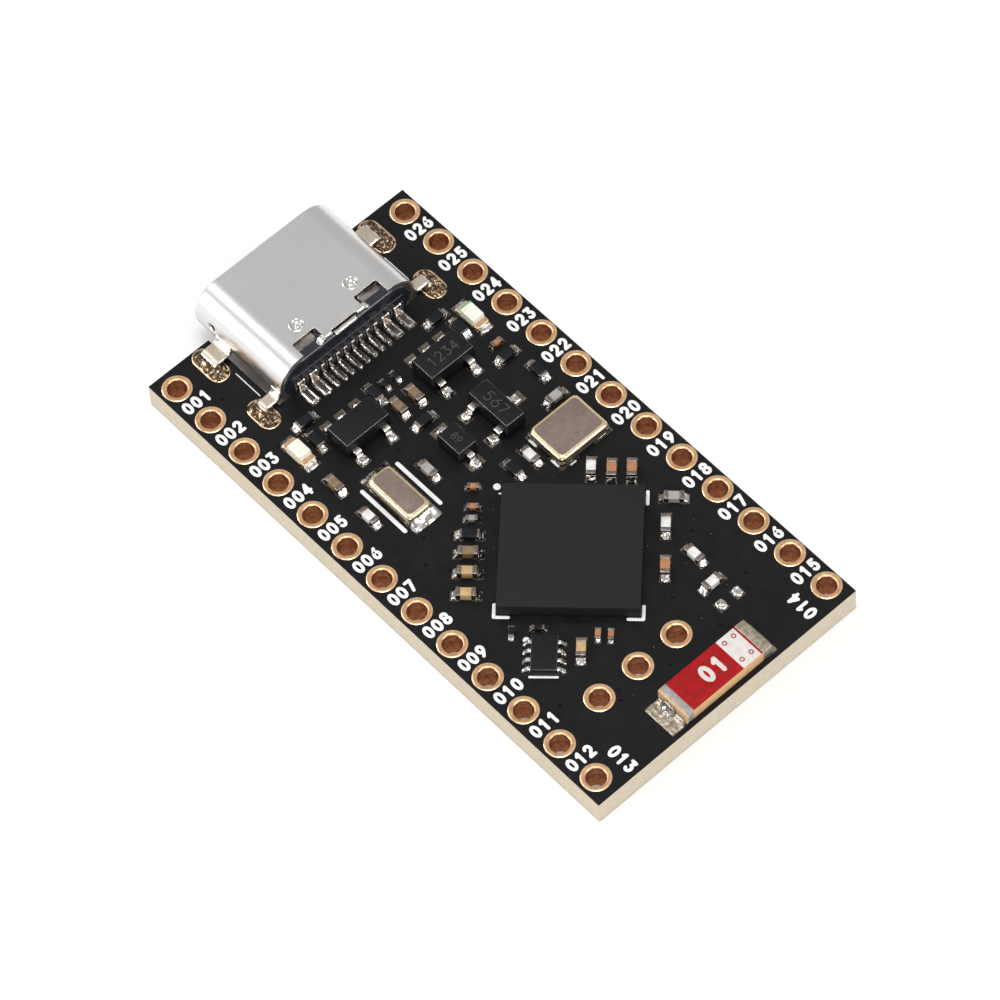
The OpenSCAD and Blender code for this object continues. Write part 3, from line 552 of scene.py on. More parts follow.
def chip_solder(c, term, seed, climb=0.7, land=(0.52, 0.56), lumps=0.03):
    x, y, deg, lb, wb, z0, z1 = c
    h = z1 - z0
    full = lb + 2 * term
    off = full / 2 + land[0] / 2 - term - 0.02
    for s in (-1, 1):
        inner = -land[0] / 2 + 0.0
        face = full / 2 - off
        hh = h * climb * (0.85 + 0.3 * noise.noise(Vector((seed * 1.7, s * 3.1, 0.3))))
        v, f = solder_field(land[0], land[1], [(inner, face, -wb / 2 + 0.02, wb / 2 - 0.02, hh, max(land[0] / 2 - face, 0.05) * 1.15)],
                            base=0.04, seed=seed + s * 0.37, lumps=lumps * 1.7, n=(14, 13), freq=9.0)
        v = v * np.array([s, s, 1])
        a = math.radians(deg)
        at = place(x + s * off * math.cos(a), y + s * off * math.sin(a), z0, deg)
        solder.add(v, f, 0, at)


tan_body, orange_body, ind_body, res_body = Shape(), Shape(), Shape(), Shape()
TERM, TERM_S = 0.22, 0.13
for i, c in enumerate(chips("capacitor_bodies_tan")):
    x, y, deg, lb, wb, z0, z1 = c
    v, f = rbox(lb + 0.06, wb - 0.03, z1 - z0 - 0.03, 0.035, 2, (2, 2, 2))
    light = x > 4.0 or (x > 3.0 and y > 9)
    tan_body.add(rough_up(v, 0.006, 5, i), f, 1 if light and y > 0 else 0, place(x, y, (z0 + z1) / 2, deg))
    ends(c, terminals, TERM, i * 2.1, over=0.02)
    chip_solder(c, TERM, i * 1.9 + 3, climb=0.62)
for i, c in enumerate(chips("capacitor_bodies_orange")):
    x, y, deg, lb, wb, z0, z1 = c
    small = wb < 0.4
    v, f = rbox(lb + 0.06, wb - 0.02, z1 - z0 - 0.02, 0.03, 2, (2, 2, 2))
    grey = small and 1.9 < x < 2.5 and y < 2
    orange_body.add(rough_up(v, 0.005, 5, i), f, 1 if grey else 0, place(x, y, (z0 + z1) / 2, deg))
    ends(c, terminals, TERM_S if small else TERM, i * 3.3, over=0.015, r=0.035 if small else 0.05)
    chip_solder(c, TERM_S if small else TERM, i * 2.3 + 11, climb=0.7, land=(0.30, 0.34) if small else (0.52, 0.56),
                lumps=0.02 if small else 0.03)
for i, c in enumerate(chips("inductor_bodies")):
    x, y, deg, lb, wb, z0, z1 = c
    v, f = rbox(lb + 0.06, wb - 0.02, z1 - z0 - 0.02, 0.05, 2, (2, 2, 2))
    grey = (x < -5 and y > 6) or (0 < x < 3) or (x < -5 and y < 0)
    ind_body.add(rough_up(v, 0.008, 5, i), f, 1 if grey else 0, place(x, y, (z0 + z1) / 2, deg))
    ends(c, ind_terminals, TERM, i * 1.3, over=0.015)
    chip_solder(c, TERM, i * 2.7 + 31, climb=0.66)
for i, c in enumerate(chips("resistor_bodies")):
    x, y, deg, lb, wb, z0, z1 = c
    small = wb < 0.4
    h = z1 - z0
    v, f = rbox(lb + (0.05 if small else 0.14), wb - 0.01, h - 0.05, 0.02, 1, (2, 2, 1))
    res_body.add(v, f, 0, place(x, y, z0 + (h - 0.05) / 2 + 0.01, deg))
    v, f = rbox(lb + (0.08 if small else 0.20), wb - 0.05, 0.06, 0.025, 2, (2, 2, 1))
    res_body.add(rough_up(v, 0.004, 6, i), f, 1, place(x, y, z1 - 0.012, deg))
    ends(c, res_terminals, TERM_S if small else TERM, i * 1.7, over=-0.01, r=0.03 if small else 0.05)
    chip_solder(c, TERM_S if small else TERM, i * 3.7 + 57, climb=0.85, land=(0.30, 0.34) if small else (0.52, 0.56),
                lumps=0.02 if small else 0.034)
tan_body.make("tan_capacitors", ["tan", "tan_light"], "tan_ceramic", ["capacitor_bodies_tan"])
orange_body.make("orange_capacitors", ["orange", "grey"], "orange_ceramic", ["capacitor_bodies_orange"])
ind_body.make("chip_inductors", ["white", "grey"], "white_ceramic", ["inductor_bodies"])
res_body.make("chip_resistors", ["glaze", "glaze"], "resistor_black", ["resistor_bodies"])
terminals.make("capacitor_end_caps", ["terminal"], "solder", ["capacitor_terminals"])
ind_terminals.make("inductor_end_caps", ["terminal"], "solder", ["inductor_terminals"])
res_terminals.make("resistor_end_caps", ["terminal"], "solder", ["resistor_terminals"])

# ------------------------------------------------------------------ moulded packages with gull-wing leads
LEAD = 0.13


def edge_kinds(v, f, flat=0, edge=1, top_only=True):
    """Material index of each face of a rounded box: edge for the rounded ones."""
    out = []
    for q in f:
        a, b, c = (v[q[1]] - v[q[0]]), (v[q[2]] - v[q[0]]), (v[q[3]] - v[q[1]])
        n = np.cross(b, c)
        n = n / max(np.linalg.norm(n), 1e-12)
        big = sorted(abs(n))[-1]
        out.append(edge if big < 0.97 and (n[2] > 0.15 or not top_only) else flat)
    return out


def mould_body(lo, hi, draft=0.08, r=0.045):
    size = hi - lo
    v, f = rbox(size[0], size[1], size[2], r, 2, (2, 2, 4))
    v = v.copy()
    mid = -0.04
    for p in v:
        t = (p[2] - mid) / (size[2] / 2)
        k = draft * abs(t)
        p[0] *= 1 - k * 1.6 / size[0]
        p[1] *= 1 - k * 1.6 / size[1]
    return v, f, (lo + hi) / 2


def gull(shape, x, y, deg, w, top=0.5, reach=0.72, k=0):
    pts = [(-0.12, 0, top - LEAD / 2), (0.20, 0, top - LEAD / 2), (0.33, 0, LEAD / 2), (reach, 0, LEAD / 2)]
    path = fillet_path(pts, 0.09, 4)
    v, f = strap(path, w, LEAD, 0.022)
    shape.add(v, f, k, place(x, y, BT + 0.015, deg))


DIGITS = {}


def arc(cx, cy, rx, ry, a0, a1, n=10):
    return [(cx + rx * math.cos(math.radians(a0 + (a1 - a0) * i / n)), cy + ry * math.sin(math.radians(a0 + (a1 - a0) * i / n)))
            for i in range(n + 1)]


DIGITS["0"] = [(arc(.5, .5, .5, .5, 90, 450, 24)[:-1], True)]
DIGITS["1"] = [([(.18, .78), (.56, 1), (.56, 0)], False)]
DIGITS["2"] = [(arc(.5, .70, .46, .30, 165, -35, 12) + [(.04, 0), (.98, 0)], False)]
DIGITS["3"] = [([(.08, .98), (.86, .98), (.44, .60)] + arc(.46, .30, .46, .30, 75, -150, 12), False)]
DIGITS["4"] = [([(.72, 0), (.72, 1), (.02, .30), (1.0, .30)], False)]
DIGITS["5"] = [([(.90, 1), (.20, 1), (.12, .55)] + arc(.48, .33, .46, .33, 110, -150, 12), False)]
DIGITS["6"] = [([(.78, 1.0), (.40, .74)] + arc(.5, .32, .46, .32, 140, 500, 20), False)]
DIGITS["7"] = [([(.04, 1), (.94, 1), (.34, 0)], False)]
DIGITS["8"] = [(arc(.5, .27, .50, .27, 90, 450, 24)[:-1], True), (arc(.5, .77, .42, .235, 90, 450, 24)[:-1], True)]
DIGITS["9"] = [(arc(.5, .68, .46, .32, -40, 320, 20) + [(.60, .26), (.22, 0)], False)]


def stroke(shape, pts, closed, w, h, k, at):
    """A painted stroke with rounded ends and a soft edge, on the z = 0 plane of its placement."""
    p = [np.array(q, float) for q in pts]
    n = len(p)
    if not closed:
        for i in range(1, n - 1):
            a, b = p[i] - p[i - 1], p[i + 1] - p[i]
            if (a @ b) / (np.linalg.norm(a) * np.linalg.norm(b)) < 0.8:
                stroke(shape, pts[:i + 1], False, w, h, k, at)
                stroke(shape, pts[i:], False, w, h + 0.0017, k, at)
                return
    rows = []
    for i in range(n):
        a = p[i - 1] if (i or closed) else None
        b = p[(i + 1) % n] if (i < n - 1 or closed) else None
        t0 = (p[i] - a) / np.linalg.norm(p[i] - a) if a is not None else None
        t1 = (b - p[i]) / np.linalg.norm(b - p[i]) if b is not None else None
        t0 = t1 if t0 is None else t0
        t1 = t0 if t1 is None else t1
        t = t0 + t1
        if np.linalg.norm(t) < 1e-6:
            t = t0
        t = t / np.linalg.norm(t)
        nn = np.array([-t[1], t[0]])
        m = min(1 / max(float(t @ t0), 0.3), 1.5)
        rows.append((p[i], nn * m))
    e = min(w * 0.16, 0.02)
    prof = [(-w / 2, 0), (-w / 2, h * 0.45), (-w / 2 + e, h), (w / 2 - e, h), (w / 2, h * 0.45), (w / 2, 0)]
    v, f = [], []
    for q, nn in rows:
        v += [(q[0] + nn[0] * a, q[1] + nn[1] * a, z) for a, z in prof]
    m = len(prof)
    for i in range(n if closed else n - 1):
        j = (i + 1) % n
        for a in range(m):
            b = (a + 1) % m
            f.append((i * m + a, i * m + b, j * m + b, j * m + a))
    if not closed:
        f.append(tuple(range(m - 1, -1, -1)))
        f.append(tuple((n - 1) * m + a for a in range(m)))
    shape.add(v, f, k, at)
    if not closed:
        dv, df = disc(w / 2, h + 0.0008, e, 20)
        spots = [0, n - 1]
        for i in range(1, n - 1):
            a, b = p[i] - p[i - 1], p[i + 1] - p[i]
            if (a @ b) / (np.linalg.norm(a) * np.linalg.norm(b)) < 0.8:
                spots.append(i)
        for i in spots:
            shape.add(dv + np.array([p[i][0], p[i][1], 0]), df, k, at)


def number(shape, text, x, y, deg, height, width, weight, h, k=0, z=None, gap=None):
    """Digits centred on (x, y); the text runs along deg."""
    n = len(text)
    gap = gap if gap is not None else weight * 0.45
    dw = (width - gap * (n - 1)) / n
    at = place(x, y, BT if z is None else z, deg)
    for i, ch in enumerate(text):
        left = -width / 2 + i * (dw + gap) + weight / 2
        for j, (pts, closed) in enumerate(DIGITS[ch]):
            q = [(left + px * (dw - weight), -height / 2 + weight / 2 + py * (height - weight)) for px, py in pts]
            stroke(shape, q, closed, weight, h + 0.0026 * j, k, at)


def lead_solder(x, y, deg, w, foot=(0.30, 0.72), land=(0.72, 0.62), seed=0, climb=0.16, shift=0.0):
    if deg == -90:
        foot, land, climb, shift = (0.26, 0.50), (0.40, 0.60), 0.15, -0.04
    """Solder round the foot of a lead that runs along deg from (x, y)."""
    mid = 0.48 + shift
    v, f = solder_field(land[0], land[1], [(foot[0] - mid, foot[1] - mid, -w / 2, w / 2, climb, 0.17)], base=0.04, seed=seed,
                        lumps=0.05, n=(14, 12), freq=7)
    a = math.radians(deg)
    solder.add(v, f, 0, place(x + mid * math.cos(a), y + mid * math.sin(a), BT, deg))


def package(node, leads_node, name, feet, mark, mark_deg, mark_size, slot="mould_compound", draft=0.08):
    """feet: (x, y, degrees, width) where each lead leaves the body."""
    lo, hi = box_mm(node)
    body = Shape()
    v, f, c = mould_body(lo, hi, draft)
    # the upward-facing rounded edges take the lighter grey: painted highlight
    body.add(v, f, edge_kinds(v, f, 0, 2), place(c[0], c[1], c[2]))
    if mark:
        number(body, mark, c[0], c[1], mark_deg, mark_size[1], mark_size[0], mark_size[2], 0.004, 1, hi[2] - 0.001,
               gap=mark_size[2] * 1.6)
    body.make(name, ["mould", "marking", "mould_painted_highlight"], slot, [node])
    leads = Shape()
    for i, (x, y, deg, w) in enumerate(feet):
        gull(leads, x, y, deg, w, reach=0.52 if deg == -90 else 0.72)
        lead_solder(x, y, deg, w, seed=x * 3 + y + i)
    leads.make(name + "_leads", ["tail"], "tinned_copper", [leads_node])


def sot5_feet(node):
    lo, hi = box_mm(node)
    cx = (lo[0] + hi[0]) / 2
    return ([(cx + dx, lo[1], -90, 0.4) for dx in (-0.95, 0, 0.95)] + [(cx + dx, hi[1], 90, 0.4) for dx in (-0.95, 0.95)])


package("charger_ic_body", "charger_ic_leads", "charger_ic", sot5_feet("charger_ic_body"), "", 0, None)
package("regulator_ic_body", "regulator_ic_leads", "regulator_ic", sot5_feet("regulator_ic_body"), "1234", 180, (1.85, 0.62, 0.055))
lo, hi = box_mm("transistor_body")
cy = (lo[1] + hi[1]) / 2
package("transistor_body", "transistor_leads", "transistor",
        [(hi[0], cy - 0.95, 0, 0.42), (hi[0], cy + 0.95, 0, 0.42), (lo[0], cy, 180, 0.42)], "567", 90, (1.5, 0.62, 0.055))
lo, hi = box_mm("diode_body")
cx = (lo[0] + hi[0]) / 2
package("diode_body", "diode_leads", "diode", [(cx, lo[1], -90, 0.36), (cx, hi[1], 90, 0.36)], "89", 90, (0.6, 0.42, 0.045))

# eight-land chip
lo, hi = box_mm("flash_ic_body")
c = (lo + hi) / 2
body = Shape()
v, f = rbox(1.96, 1.30, hi[2] - lo[2], 0.05, 2, (2, 2, 2))
# the upward-facing rounded edges take the lighter grey: painted highlight
body.add(v, f, edge_kinds(v, f), place(c[0], c[1], c[2], 45))
body.make("flash_ic", ["mould", "mould_painted_highlight"], "mould_compound", ["flash_ic_body"])
lands = Shape()
for s in (-1, 1):
    for i, k in enumerate((-0.75, -0.25, 0.25, 0.75)):
        v, f = rbox(0.25, 0.36, 0.34, 0.09, 3)
        lands.add(rough_up(v, 0.02, 6, k + s) + np.array([k, s * 0.66, 0]), f, 0, place(c[0], c[1], BT + 0.17, 45))
        v, f = solder_field(0.30, 0.44, [(-0.12, 0.12, -0.22, -0.02, 0.20, 0.22)], base=0.05, seed=i * 2.3 + s, lumps=0.05, n=(9, 11), freq=8)
        v = v * np.array([1, s, 1])
        if s < 0:
            f = [q[::-1] for q in f]
        a = math.radians(45)
        u, w = k, s * 0.88
        solder.add(v, f, 0, place(c[0] + u * math.cos(a) - w * math.sin(a), c[1] + u * math.sin(a) + w * math.cos(a), BT, 45))
lands.make("flash_ic_terminals", ["solder"], "tinned_copper", ["flash_ic_lands"])

# main controller
lo, hi = box_mm("mcu_package")
c = (lo + hi) / 2
side = (hi[0] - lo[0]) / math.sqrt(2)
body = Shape()
v, f = rbox(side, side, hi[2] - lo[2], 0.045, 3, (4, 4, 2))
body.add(v, f, 0, place(c[0], c[1], c[2], 45))
body.make("main_controller", ["mcu"], "mould_compound", ["mcu_package"])


# ------------------------------------------------------------------ crystals
def crystal(name, base_node, lid_node, land_side, seed):
    lo, hi = box_mm(base_node)
    size, c = hi - lo, (lo + hi) / 2
    tray = Shape()
    v, f = rbox(size[0], size[1], size[2], 0.06, 2, (3, 3, 2))
    tray.add(v, f, 0, place(c[0], c[1], c[2]))
    # metal-lined castellations at the corners
    for sx in (-1, 1):
        for sy in (-1, 1):
            v, f = rbox(0.32, 0.32, size[2] * 0.8, 0.08, 2)
            tray.add(v, f, 1, place(c[0] + sx * (size[0] / 2 - 0.13), c[1] + sy * (size[1] / 2 - 0.13), c[2] - size[2] * 0.07))
    tray.make(name + "_tray", ["ceramic_dark", "terminal"], "dark_ceramic", [base_node])
    lo2, hi2 = box_mm(lid_node)
    w, l = size[0] + 0.012, size[1] + 0.012
    # a pressed lid: flange, rounded shoulder, flat panel; the flange and shoulder take the pale rim material, a painted
    # highlight
    rows = [(0.0, -0.075, 0.26), (0.0, 0.085, 0.26), (0.012, 0.126, 0.26), (0.035, 0.165, 0.26), (0.07, 0.201, 0.255), (0.11, 0.228, 0.25),
            (0.15, 0.247, 0.245), (0.195, 0.259, 0.24), (0.24, 0.262, 0.235)]
    z0 = lo2[2]
    v, f, ks = [], [], []
    m = 0
    for inset, z, r in rows:
        hw, hl = w / 2 - inset, l / 2 - inset
        ring = []
        for qx, qy, a0 in ((1, 1, 0), (-1, 1, 90), (-1, -1, 180), (1, -1, 270)):
            for i in range(7):
                a = math.radians(a0 + 90 * i / 6)
                ring.append((qx * (hw - r) + r * math.cos(a), qy * (hl - r) + r * math.sin(a), z))
        m = len(ring)
        v += ring
    for k in range(len(rows) - 1):
        for i in range(m):
            f.append((k * m + i, k * m + (i + 1) % m, (k + 1) * m + (i + 1) % m, (k + 1) * m + i))
            ks.append(1 if k < 7 else 0)
    f.append(tuple(range(m - 1, -1, -1)))
    ks.append(1)
    f.append(tuple((len(rows) - 1) * m + i for i in range(m)))
    ks.append(0)
    lid = Shape()
    lid.add(v, f, ks, place((lo2[0] + hi2[0]) / 2, (lo2[1] + hi2[1]) / 2, z0))
    lid.make(name + "_lid", ["lid", "lid_rim"], "crystal_lid", [lid_node], angle=28)


crystal("watch_crystal", "watch_crystal_base", "watch_crystal_lid", None, 1)
crystal("main_crystal", "main_crystal_base", "main_crystal_lid", None, 2)
lo, hi = box_mm("watch_crystal_base")
cx, cy = (lo[0] + hi[0]) / 2, (lo[1] + hi[1]) / 2
for s in (-1, 1):
    v, f = solder_field(1.76, 1.30, [(-0.65, 0.85, -0.65, 0.13, 0.34, 0.42)], base=0.05, seed=s * 4.4, lumps=0.07, n=(26, 20), freq=4,
                        corner=0.25, wobble=0.02)
    v = v * np.array([1, s, 1])
    if s < 0:
        f = [q[::-1] for q in f]
    solder.add(v, f, 0, place(cx - 0.1, cy + s * 1.45, BT))
lo, hi = box_mm("main_crystal_base")
cx, cy = (lo[0] + hi[0]) / 2, (lo[1] + hi[1]) / 2
for sx in (-1, 1):
    for sy in (-1, 1):
        v, f = solder_field(1.08, 0.88, [(-0.54, 0.44, -0.44, 0.36, 0.12, 0.10)], base=0.02, seed=sx * 2.2 + sy, lumps=0.02, n=(16, 14),
                            freq=5, corner=0.5)
        v = v * np.array([sx, sy, 1])
        if sx * sy < 0:
            f = [q[::-1] for q in f]
        solder.add(v, f, 0, place(cx + sx * 1.06, cy + sy * 0.82, BT))

# ------------------------------------------------------------------ lights
bases, lenses, gold = Shape(), Shape(), Shape()
for i, (x, y, deg, l, w, z0, z1) in enumerate(chips("led_lenses")):
    v, f = rbox(1.02, 0.8, 0.25, 0.02, 1, (2, 2, 1))
    bases.add(v, f, 0, place(x, y, BT + 0.125, 90))
    v, f = rbox(l, w - 0.02, z1 - z0, 0.07, 3, (3, 2, 2))
    v = v.copy()
    for p in v:
        t = (p[2] + (z1 - z0) / 2) / (z1 - z0)
        p[0] *= 1 - 0.13 * t
        p[1] *= 1 - 0.07 * t
    lenses.add(rough_up(v, 0.006, 4, i), f, 0, place(x, y, (z0 + z1) / 2, 90))
    if x < 0:
        v, f = rbox(0.07, 0.74, 0.012, 0.005, 1)
        lenses.add(v, f, 1, place(x, y - 0.50, z1 + 0.001, 90))
    for s in (-1, 1):
        v, f = rbox(0.33, 0.8, 0.27, 0.04, 2, (2, 3, 2))
        gold.add(rough_up(v, 0.008, 6, i + s), f, 0, place(x, y + s * 0.665, BT + 0.135, 90))
        v, f = solder_field(0.6, 0.86, [(-0.30, 0.02, -0.36, 0.36, 0.19, 0.26)], base=0.05, seed=i * 3 + s, lumps=0.045, n=(14, 14), freq=6)
        v = v * np.array([s, s, 1])
        solder.add(v, f, 0, place(x, y + s * 0.85, BT, 90))
bases.make("light_bases", ["led_base"], "led_base", ["led_bases"])
lenses.make("light_lenses", ["led_lens", "led_mark"], "led_lens", ["led_lenses"])
gold.make("light_terminals", ["led_gold"], "contact_gold", ["led_terminals"])

# ------------------------------------------------------------------ antenna
lo, hi = box_mm("antenna_core")
rlo, rhi = box_mm("antenna_coat_red")
wlo, whi = box_mm("antenna_coat_white")
tlo, thi = box_mm("antenna_terminals")
cy = (lo[1] + hi[1]) / 2
depth = hi[1] - lo[1]
top = rhi[2]
core = Shape()
v, f = rbox(hi[0] - lo[0] + 0.1, depth - 0.01, hi[2] - lo[2], 0.03, 2, (3, 3, 2))
core.add(rough_up(v, 0.006, 3, 4), f, 0, place((lo[0] + hi[0]) / 2, cy, (lo[2] + hi[2]) / 2))
core.make("antenna_block", ["ant_core"], "antenna_ceramic", ["antenna_core"])
red = Shape()
v, f = rbox(rhi[0] - rlo[0], depth - 0.03, 0.034, 0.014, 2, (6, 4, 1))
red.add(v, f, 0, place((rlo[0] + rhi[0]) / 2, cy, top - 0.016))
dv, df = disc(0.075, 0.012, 0.005, 18)
dots = [(x, y) for x in (1.63, 1.05, 0.40, -0.20, -0.84) for y in (14.43, 15.71)]
for x, y in dots:
    red.add(dv, df, 1, place(x, y + 0.16 if y < 15 else y - 0.16, top - 0.004))
number(red, "01", -0.14, 15.13, 180, 1.02, 1.42, 0.24, 0.012, 2, top, gap=0.14)
red.make("antenna_red_coat", ["ant_red", "ant_red_dark", "ant_white"], "red_coat", ["antenna_coat_red"])
white = Shape()
v, f = rbox(1.16, depth - 0.05, 0.034, 0.014, 2, (3, 4, 1))
white.add(v, f, 0, place((-2.40 - 1.24) / 2, cy, top - 0.015))
v, f = rbox(0.10, depth - 0.03, 0.034, 0.012, 1, (1, 4, 1))
white.add(v, f, 1, place(-2.45, cy, top - 0.016))
rv, rf = lathe([(0.075, 0.0), (0.075, 0.010), (0.10, 0.014), (0.135, 0.010), (0.135, 0.0)], 24)
dv, df = disc(0.07, 0.006, 0.003, 18)
for x in (-1.52, -2.12):
    for y in (14.50, 15.72):
        white.add(rv, rf, 2, place(x, y, top))
        white.add(dv, df, 0, place(x, y, top))
white.make("antenna_white_coat", ["ant_white", "ant_red", "ant_ring"], "white_coat", ["antenna_coat_white"])
term = Shape()
v, f = rbox(0.17, depth, top - BT, 0.05, 2, (1, 4, 3))
term.add(rough_up(v, 0.012, 4, 2), f, 2, place(2.475, cy, (top + BT) / 2))
v, f = rbox(0.37, depth - 0.01, top - BT - 0.005, 0.03, 2, (2, 4, 3))
term.add(rough_up(v, 0.006, 4, 3), f, 1, place(2.225, cy, (top + BT) / 2))
v, f = rbox(0.62, depth, top - BT, 0.06, 3, (4, 8, 4))
term.add(rough_up(v, 0.018, 3, 5), f, 0, place(-2.80, cy, (top + BT) / 2))
term.make("antenna_end_metal", ["ant_silver", "ant_grey", "ant_cream"], "silver_paste", ["antenna_terminals"])
# its solder: a tarnished land on the left with a bright ridge, a thin fillet on the right
tarnish = Shape()
v, f = solder_field(0.92, 1.98, [(-0.46, -0.44, -0.9, 0.9, 0.42, 0.30)], base=0.035, seed=3.3, lumps=0.035, n=(22, 40), freq=5,
                    corner=0.12, wobble=0.015)
tarnish.add(v, f, 0, place(3.01, cy, BT))
v, f = solder_field(0.50, 1.98, [(-0.25, -0.05, -0.95, 0.95, 0.26, 0.30)], base=0.03, seed=8.3, lumps=0.03, n=(14, 40), freq=5,
                    corner=0.12, wobble=0.015)
tarnish.add(v * np.array([-1, 1, 1]), [q[::-1] for q in f], 0, place(-3.20, cy, BT))
v, f = solder_field(0.46, 0.95, [(-0.23, -0.10, -0.4, 0.4, 0.55, 0.34)], base=0.06, seed=5.9, lumps=0.10, n=(16, 26), freq=7)
solder.add(v, f, 0, place(2.78, cy - 0.15, BT + 0.02))
tarnish.make("antenna_solder", ["ant_silver"], "silver_paste")

# bare lands that only carry solder
for i, (x, y, w, l) in enumerate(((-3.18, 12.54, 0.56, 0.62), (-4.24, 12.54, 0.56, 0.62))):
    v, f = solder_field(w, l, [], base=0.13, seed=i * 4.1 + 1, lumps=0.08, n=(13, 13), freq=6)
    solder.add(v, f, 0, place(x, y, BT))

# ------------------------------------------------------------------ pin holes
R_HOLE, R_RING = 0.5, 0.78


def ring_profile():
    t = BT
    return [(R_RING, t - 0.02), (R_RING - 0.004, t + 0.004), (R_RING - 0.03, t + 0.016), (R_RING - 0.075, t + 0.020),
            (R_HOLE + 0.10, t + 0.018), (R_HOLE + 0.05, t + 0.010), (R_HOLE + 0.018, t - 0.012), (R_HOLE + 0.004, t - 0.045),
            (R_HOLE, t - 0.10), (R_HOLE, t - 0.25), (R_HOLE, t - 0.55), (R_HOLE - 0.015, t * 0.40), (R_HOLE - 0.035, 0.08),
            (R_HOLE - 0.035, 0.02), (R_HOLE - 0.02, 0.0), (R_RING - 0.02, 0.0), (R_RING, 0.012), (R_RING, 0.03), (R_HOLE + 0.03, 0.05),
            (R_HOLE + 0.03, t - 0.05), (R_HOLE + 0.06, t - 0.025)]


# Material of each profile step: 1 the lighter rims (painted highlight); 3 and 4 the lighter upper bands of the bore
# (painted light); 2 its dark lower wall (painted shade).
RING_KIND = [1, 1, 1, 0, 0, 1, 1, 3, 3, 4, 2, 2, 2, 1, 0, 0, 0, 0, 0, 0, 0]
for node, name in (("barrel_plating_left", "pin_rings_left"), ("barrel_plating_right", "pin_rings_right"),
                   ("barrel_plating_end", "pin_rings_end")):
    s = Shape()
    prof = ring_profile()
    v, f = lathe(prof, 48)
    ks = [RING_KIND[i % len(prof)] for i in range(len(f))]
    for p in islands(node):
        cx, cy = (p[:, 0].min() + p[:, 0].max()) / 2, (p[:, 1].min() + p[:, 1].max()) / 2
        w = v.copy()
        for q in w:
            if q[2] > BT - 0.03:
                q[2] += 0.006 * noise.noise(Vector((cx + q[0] * 2.2, cy + q[1] * 2.2, 0)))
        s.add(w, f, list(ks), place(cx, cy, 0))
    s.make(name, ["copper", "copper_rim", "copper_wall", "wall_lip", "wall_mid"], "copper_plating", [node])
SLOTS = [(p[:, 0].min(), p[:, 0].max(), p[:, 1].min(), p[:, 1].max()) for p in islands("slot_plating")]

# ------------------------------------------------------------------ white marks
ink = Shape()
H = 0.018
k_left = sorted(((p[:, 1].min() + p[:, 1].max()) / 2 for p in islands("barrel_plating_left")))
for i in range(12):
    y = k_left[i] + 1.27
    number(ink, "%03d" % (i + 1), 7.44, y, 180, 0.75, 1.60, 0.17, H)
    number(ink, "%03d" % (26 - i), -7.42, y, 180, 0.75, 1.60, 0.17, H)
number(ink, "013", 6.03, 15.38, 90, 0.75, 1.60, 0.17, H)
number(ink, "014", -5.97, 15.26, -90, 0.75, 1.60, 0.17, H)


def bar(x0, y0, x1, y1, w):
    stroke(ink, [(x0, y0), (x1, y1)], False, w, H, 0, place(0, 0, BT))


lo, hi = box_mm("watch_crystal_base")
for dx in (1.05, -1.27):
    cx, cy = (lo[0] + hi[0]) / 2, (lo[1] + hi[1]) / 2
    bar(cx + dx, cy - 1.57, cx + dx, cy + 1.57, 0.22)
for y in (-0.60, 1.02):
    bar(-2.90, y - 0.22, -2.90, y + 0.22, 0.13)
bar(-3.72, 1.62, -3.42, 1.62, 0.10)
bar(4.93, -13.85, 4.93, -12.05, 0.055)
bar(-5.0, -13.85, -5.0, -12.05, 0.055)
bar(5.22, 9.96, 6.18, 9.02, 0.13)
lo, hi = box_mm("mcu_package")
mx, my = (lo[0] + hi[0]) / 2, (lo[1] + hi[1]) / 2
reach = (hi[0] - lo[0]) / 2
for cx, cy, dx, dy in ((mx + reach + 0.17, my, -1, 0), (mx, my + reach + 0.17, 0, -1), (mx - reach - 0.17, my, 1, 0)):
    if dx:
        pts = [(cx + dx * 0.50, cy - 0.50), (cx, cy), (cx + dx * 0.50, cy + 0.50)]
    else:
        pts = [(cx - 0.52, cy + dy * 0.52), (cx, cy), (cx + 0.52, cy + dy * 0.52)]
    if dx > 0:
        pts = pts[1:]
    stroke(ink, pts, False, 0.17, H, 0, place(0, 0, BT))
bar(0.24, 0.40, 0.06, 0.58, 0.09)
dv, df = disc(0.19, H, 0.008, 24)
ink.add(dv, df, 0, place(0.06, 0.03, BT))
dv, df = disc(0.17, H, 0.008, 24)
ink.add(dv, df, 0, place(4.91, 7.41, BT))
ink.make("white_marks", ["ink"], "white_ink", ["silkscreen_marks"])

# tented vias: a low collar with a dimple, and a darker disc in it: painted shade
tents = Shape()
tv, tf = lathe([(0.20, -0.004), (0.195, 0.002), (0.165, 0.006), (0.14, 0.005), (0.12, -0.004), (0.05, -0.012), (0.05, -0.016)], 24)
for p in islands("via_barrels"):
    cx, cy = (p[:, 0].min() + p[:, 0].max()) / 2, (p[:, 1].min() + p[:, 1].max()) / 2
    tents.add(tv, tf, 0, place(cx, cy, BT))
    tents.add(*disc(0.115, 0.004, 0.002, 18), 1, place(cx, cy, BT))
SPECKS = [(0.98, 0.86), (1.17, 0.65), (-5.48, 8.1), (-5.55, 8.32), (-5.7, 9.22), (-1.77, 10.46), (-2.86, 7.69), (4.52, 0.86),
          (5.21, 0.94), (2.1, -0.83), (-2.31, 1.6), (-5.25, 1.38), (2.52, 2.41), (3.94, 3.82), (-3.63, 9.71), (3.11, 11.78),
          (3.3, 13.12), (5.69, 12.71), (0.69, 12.0), (0.73, 13.6), (-1.95, 12.34), (-5.95, 13.11), (-4.29, 11.89), (-1.81, 9.79)]
sv, sf = lathe([(0.13, -0.004), (0.125, 0.004), (0.10, 0.011), (0.075, 0.006), (0.055, -0.003), (0.055, -0.007)], 18)
pv, pf = disc(0.062, 0.003, 0.0015, 14)
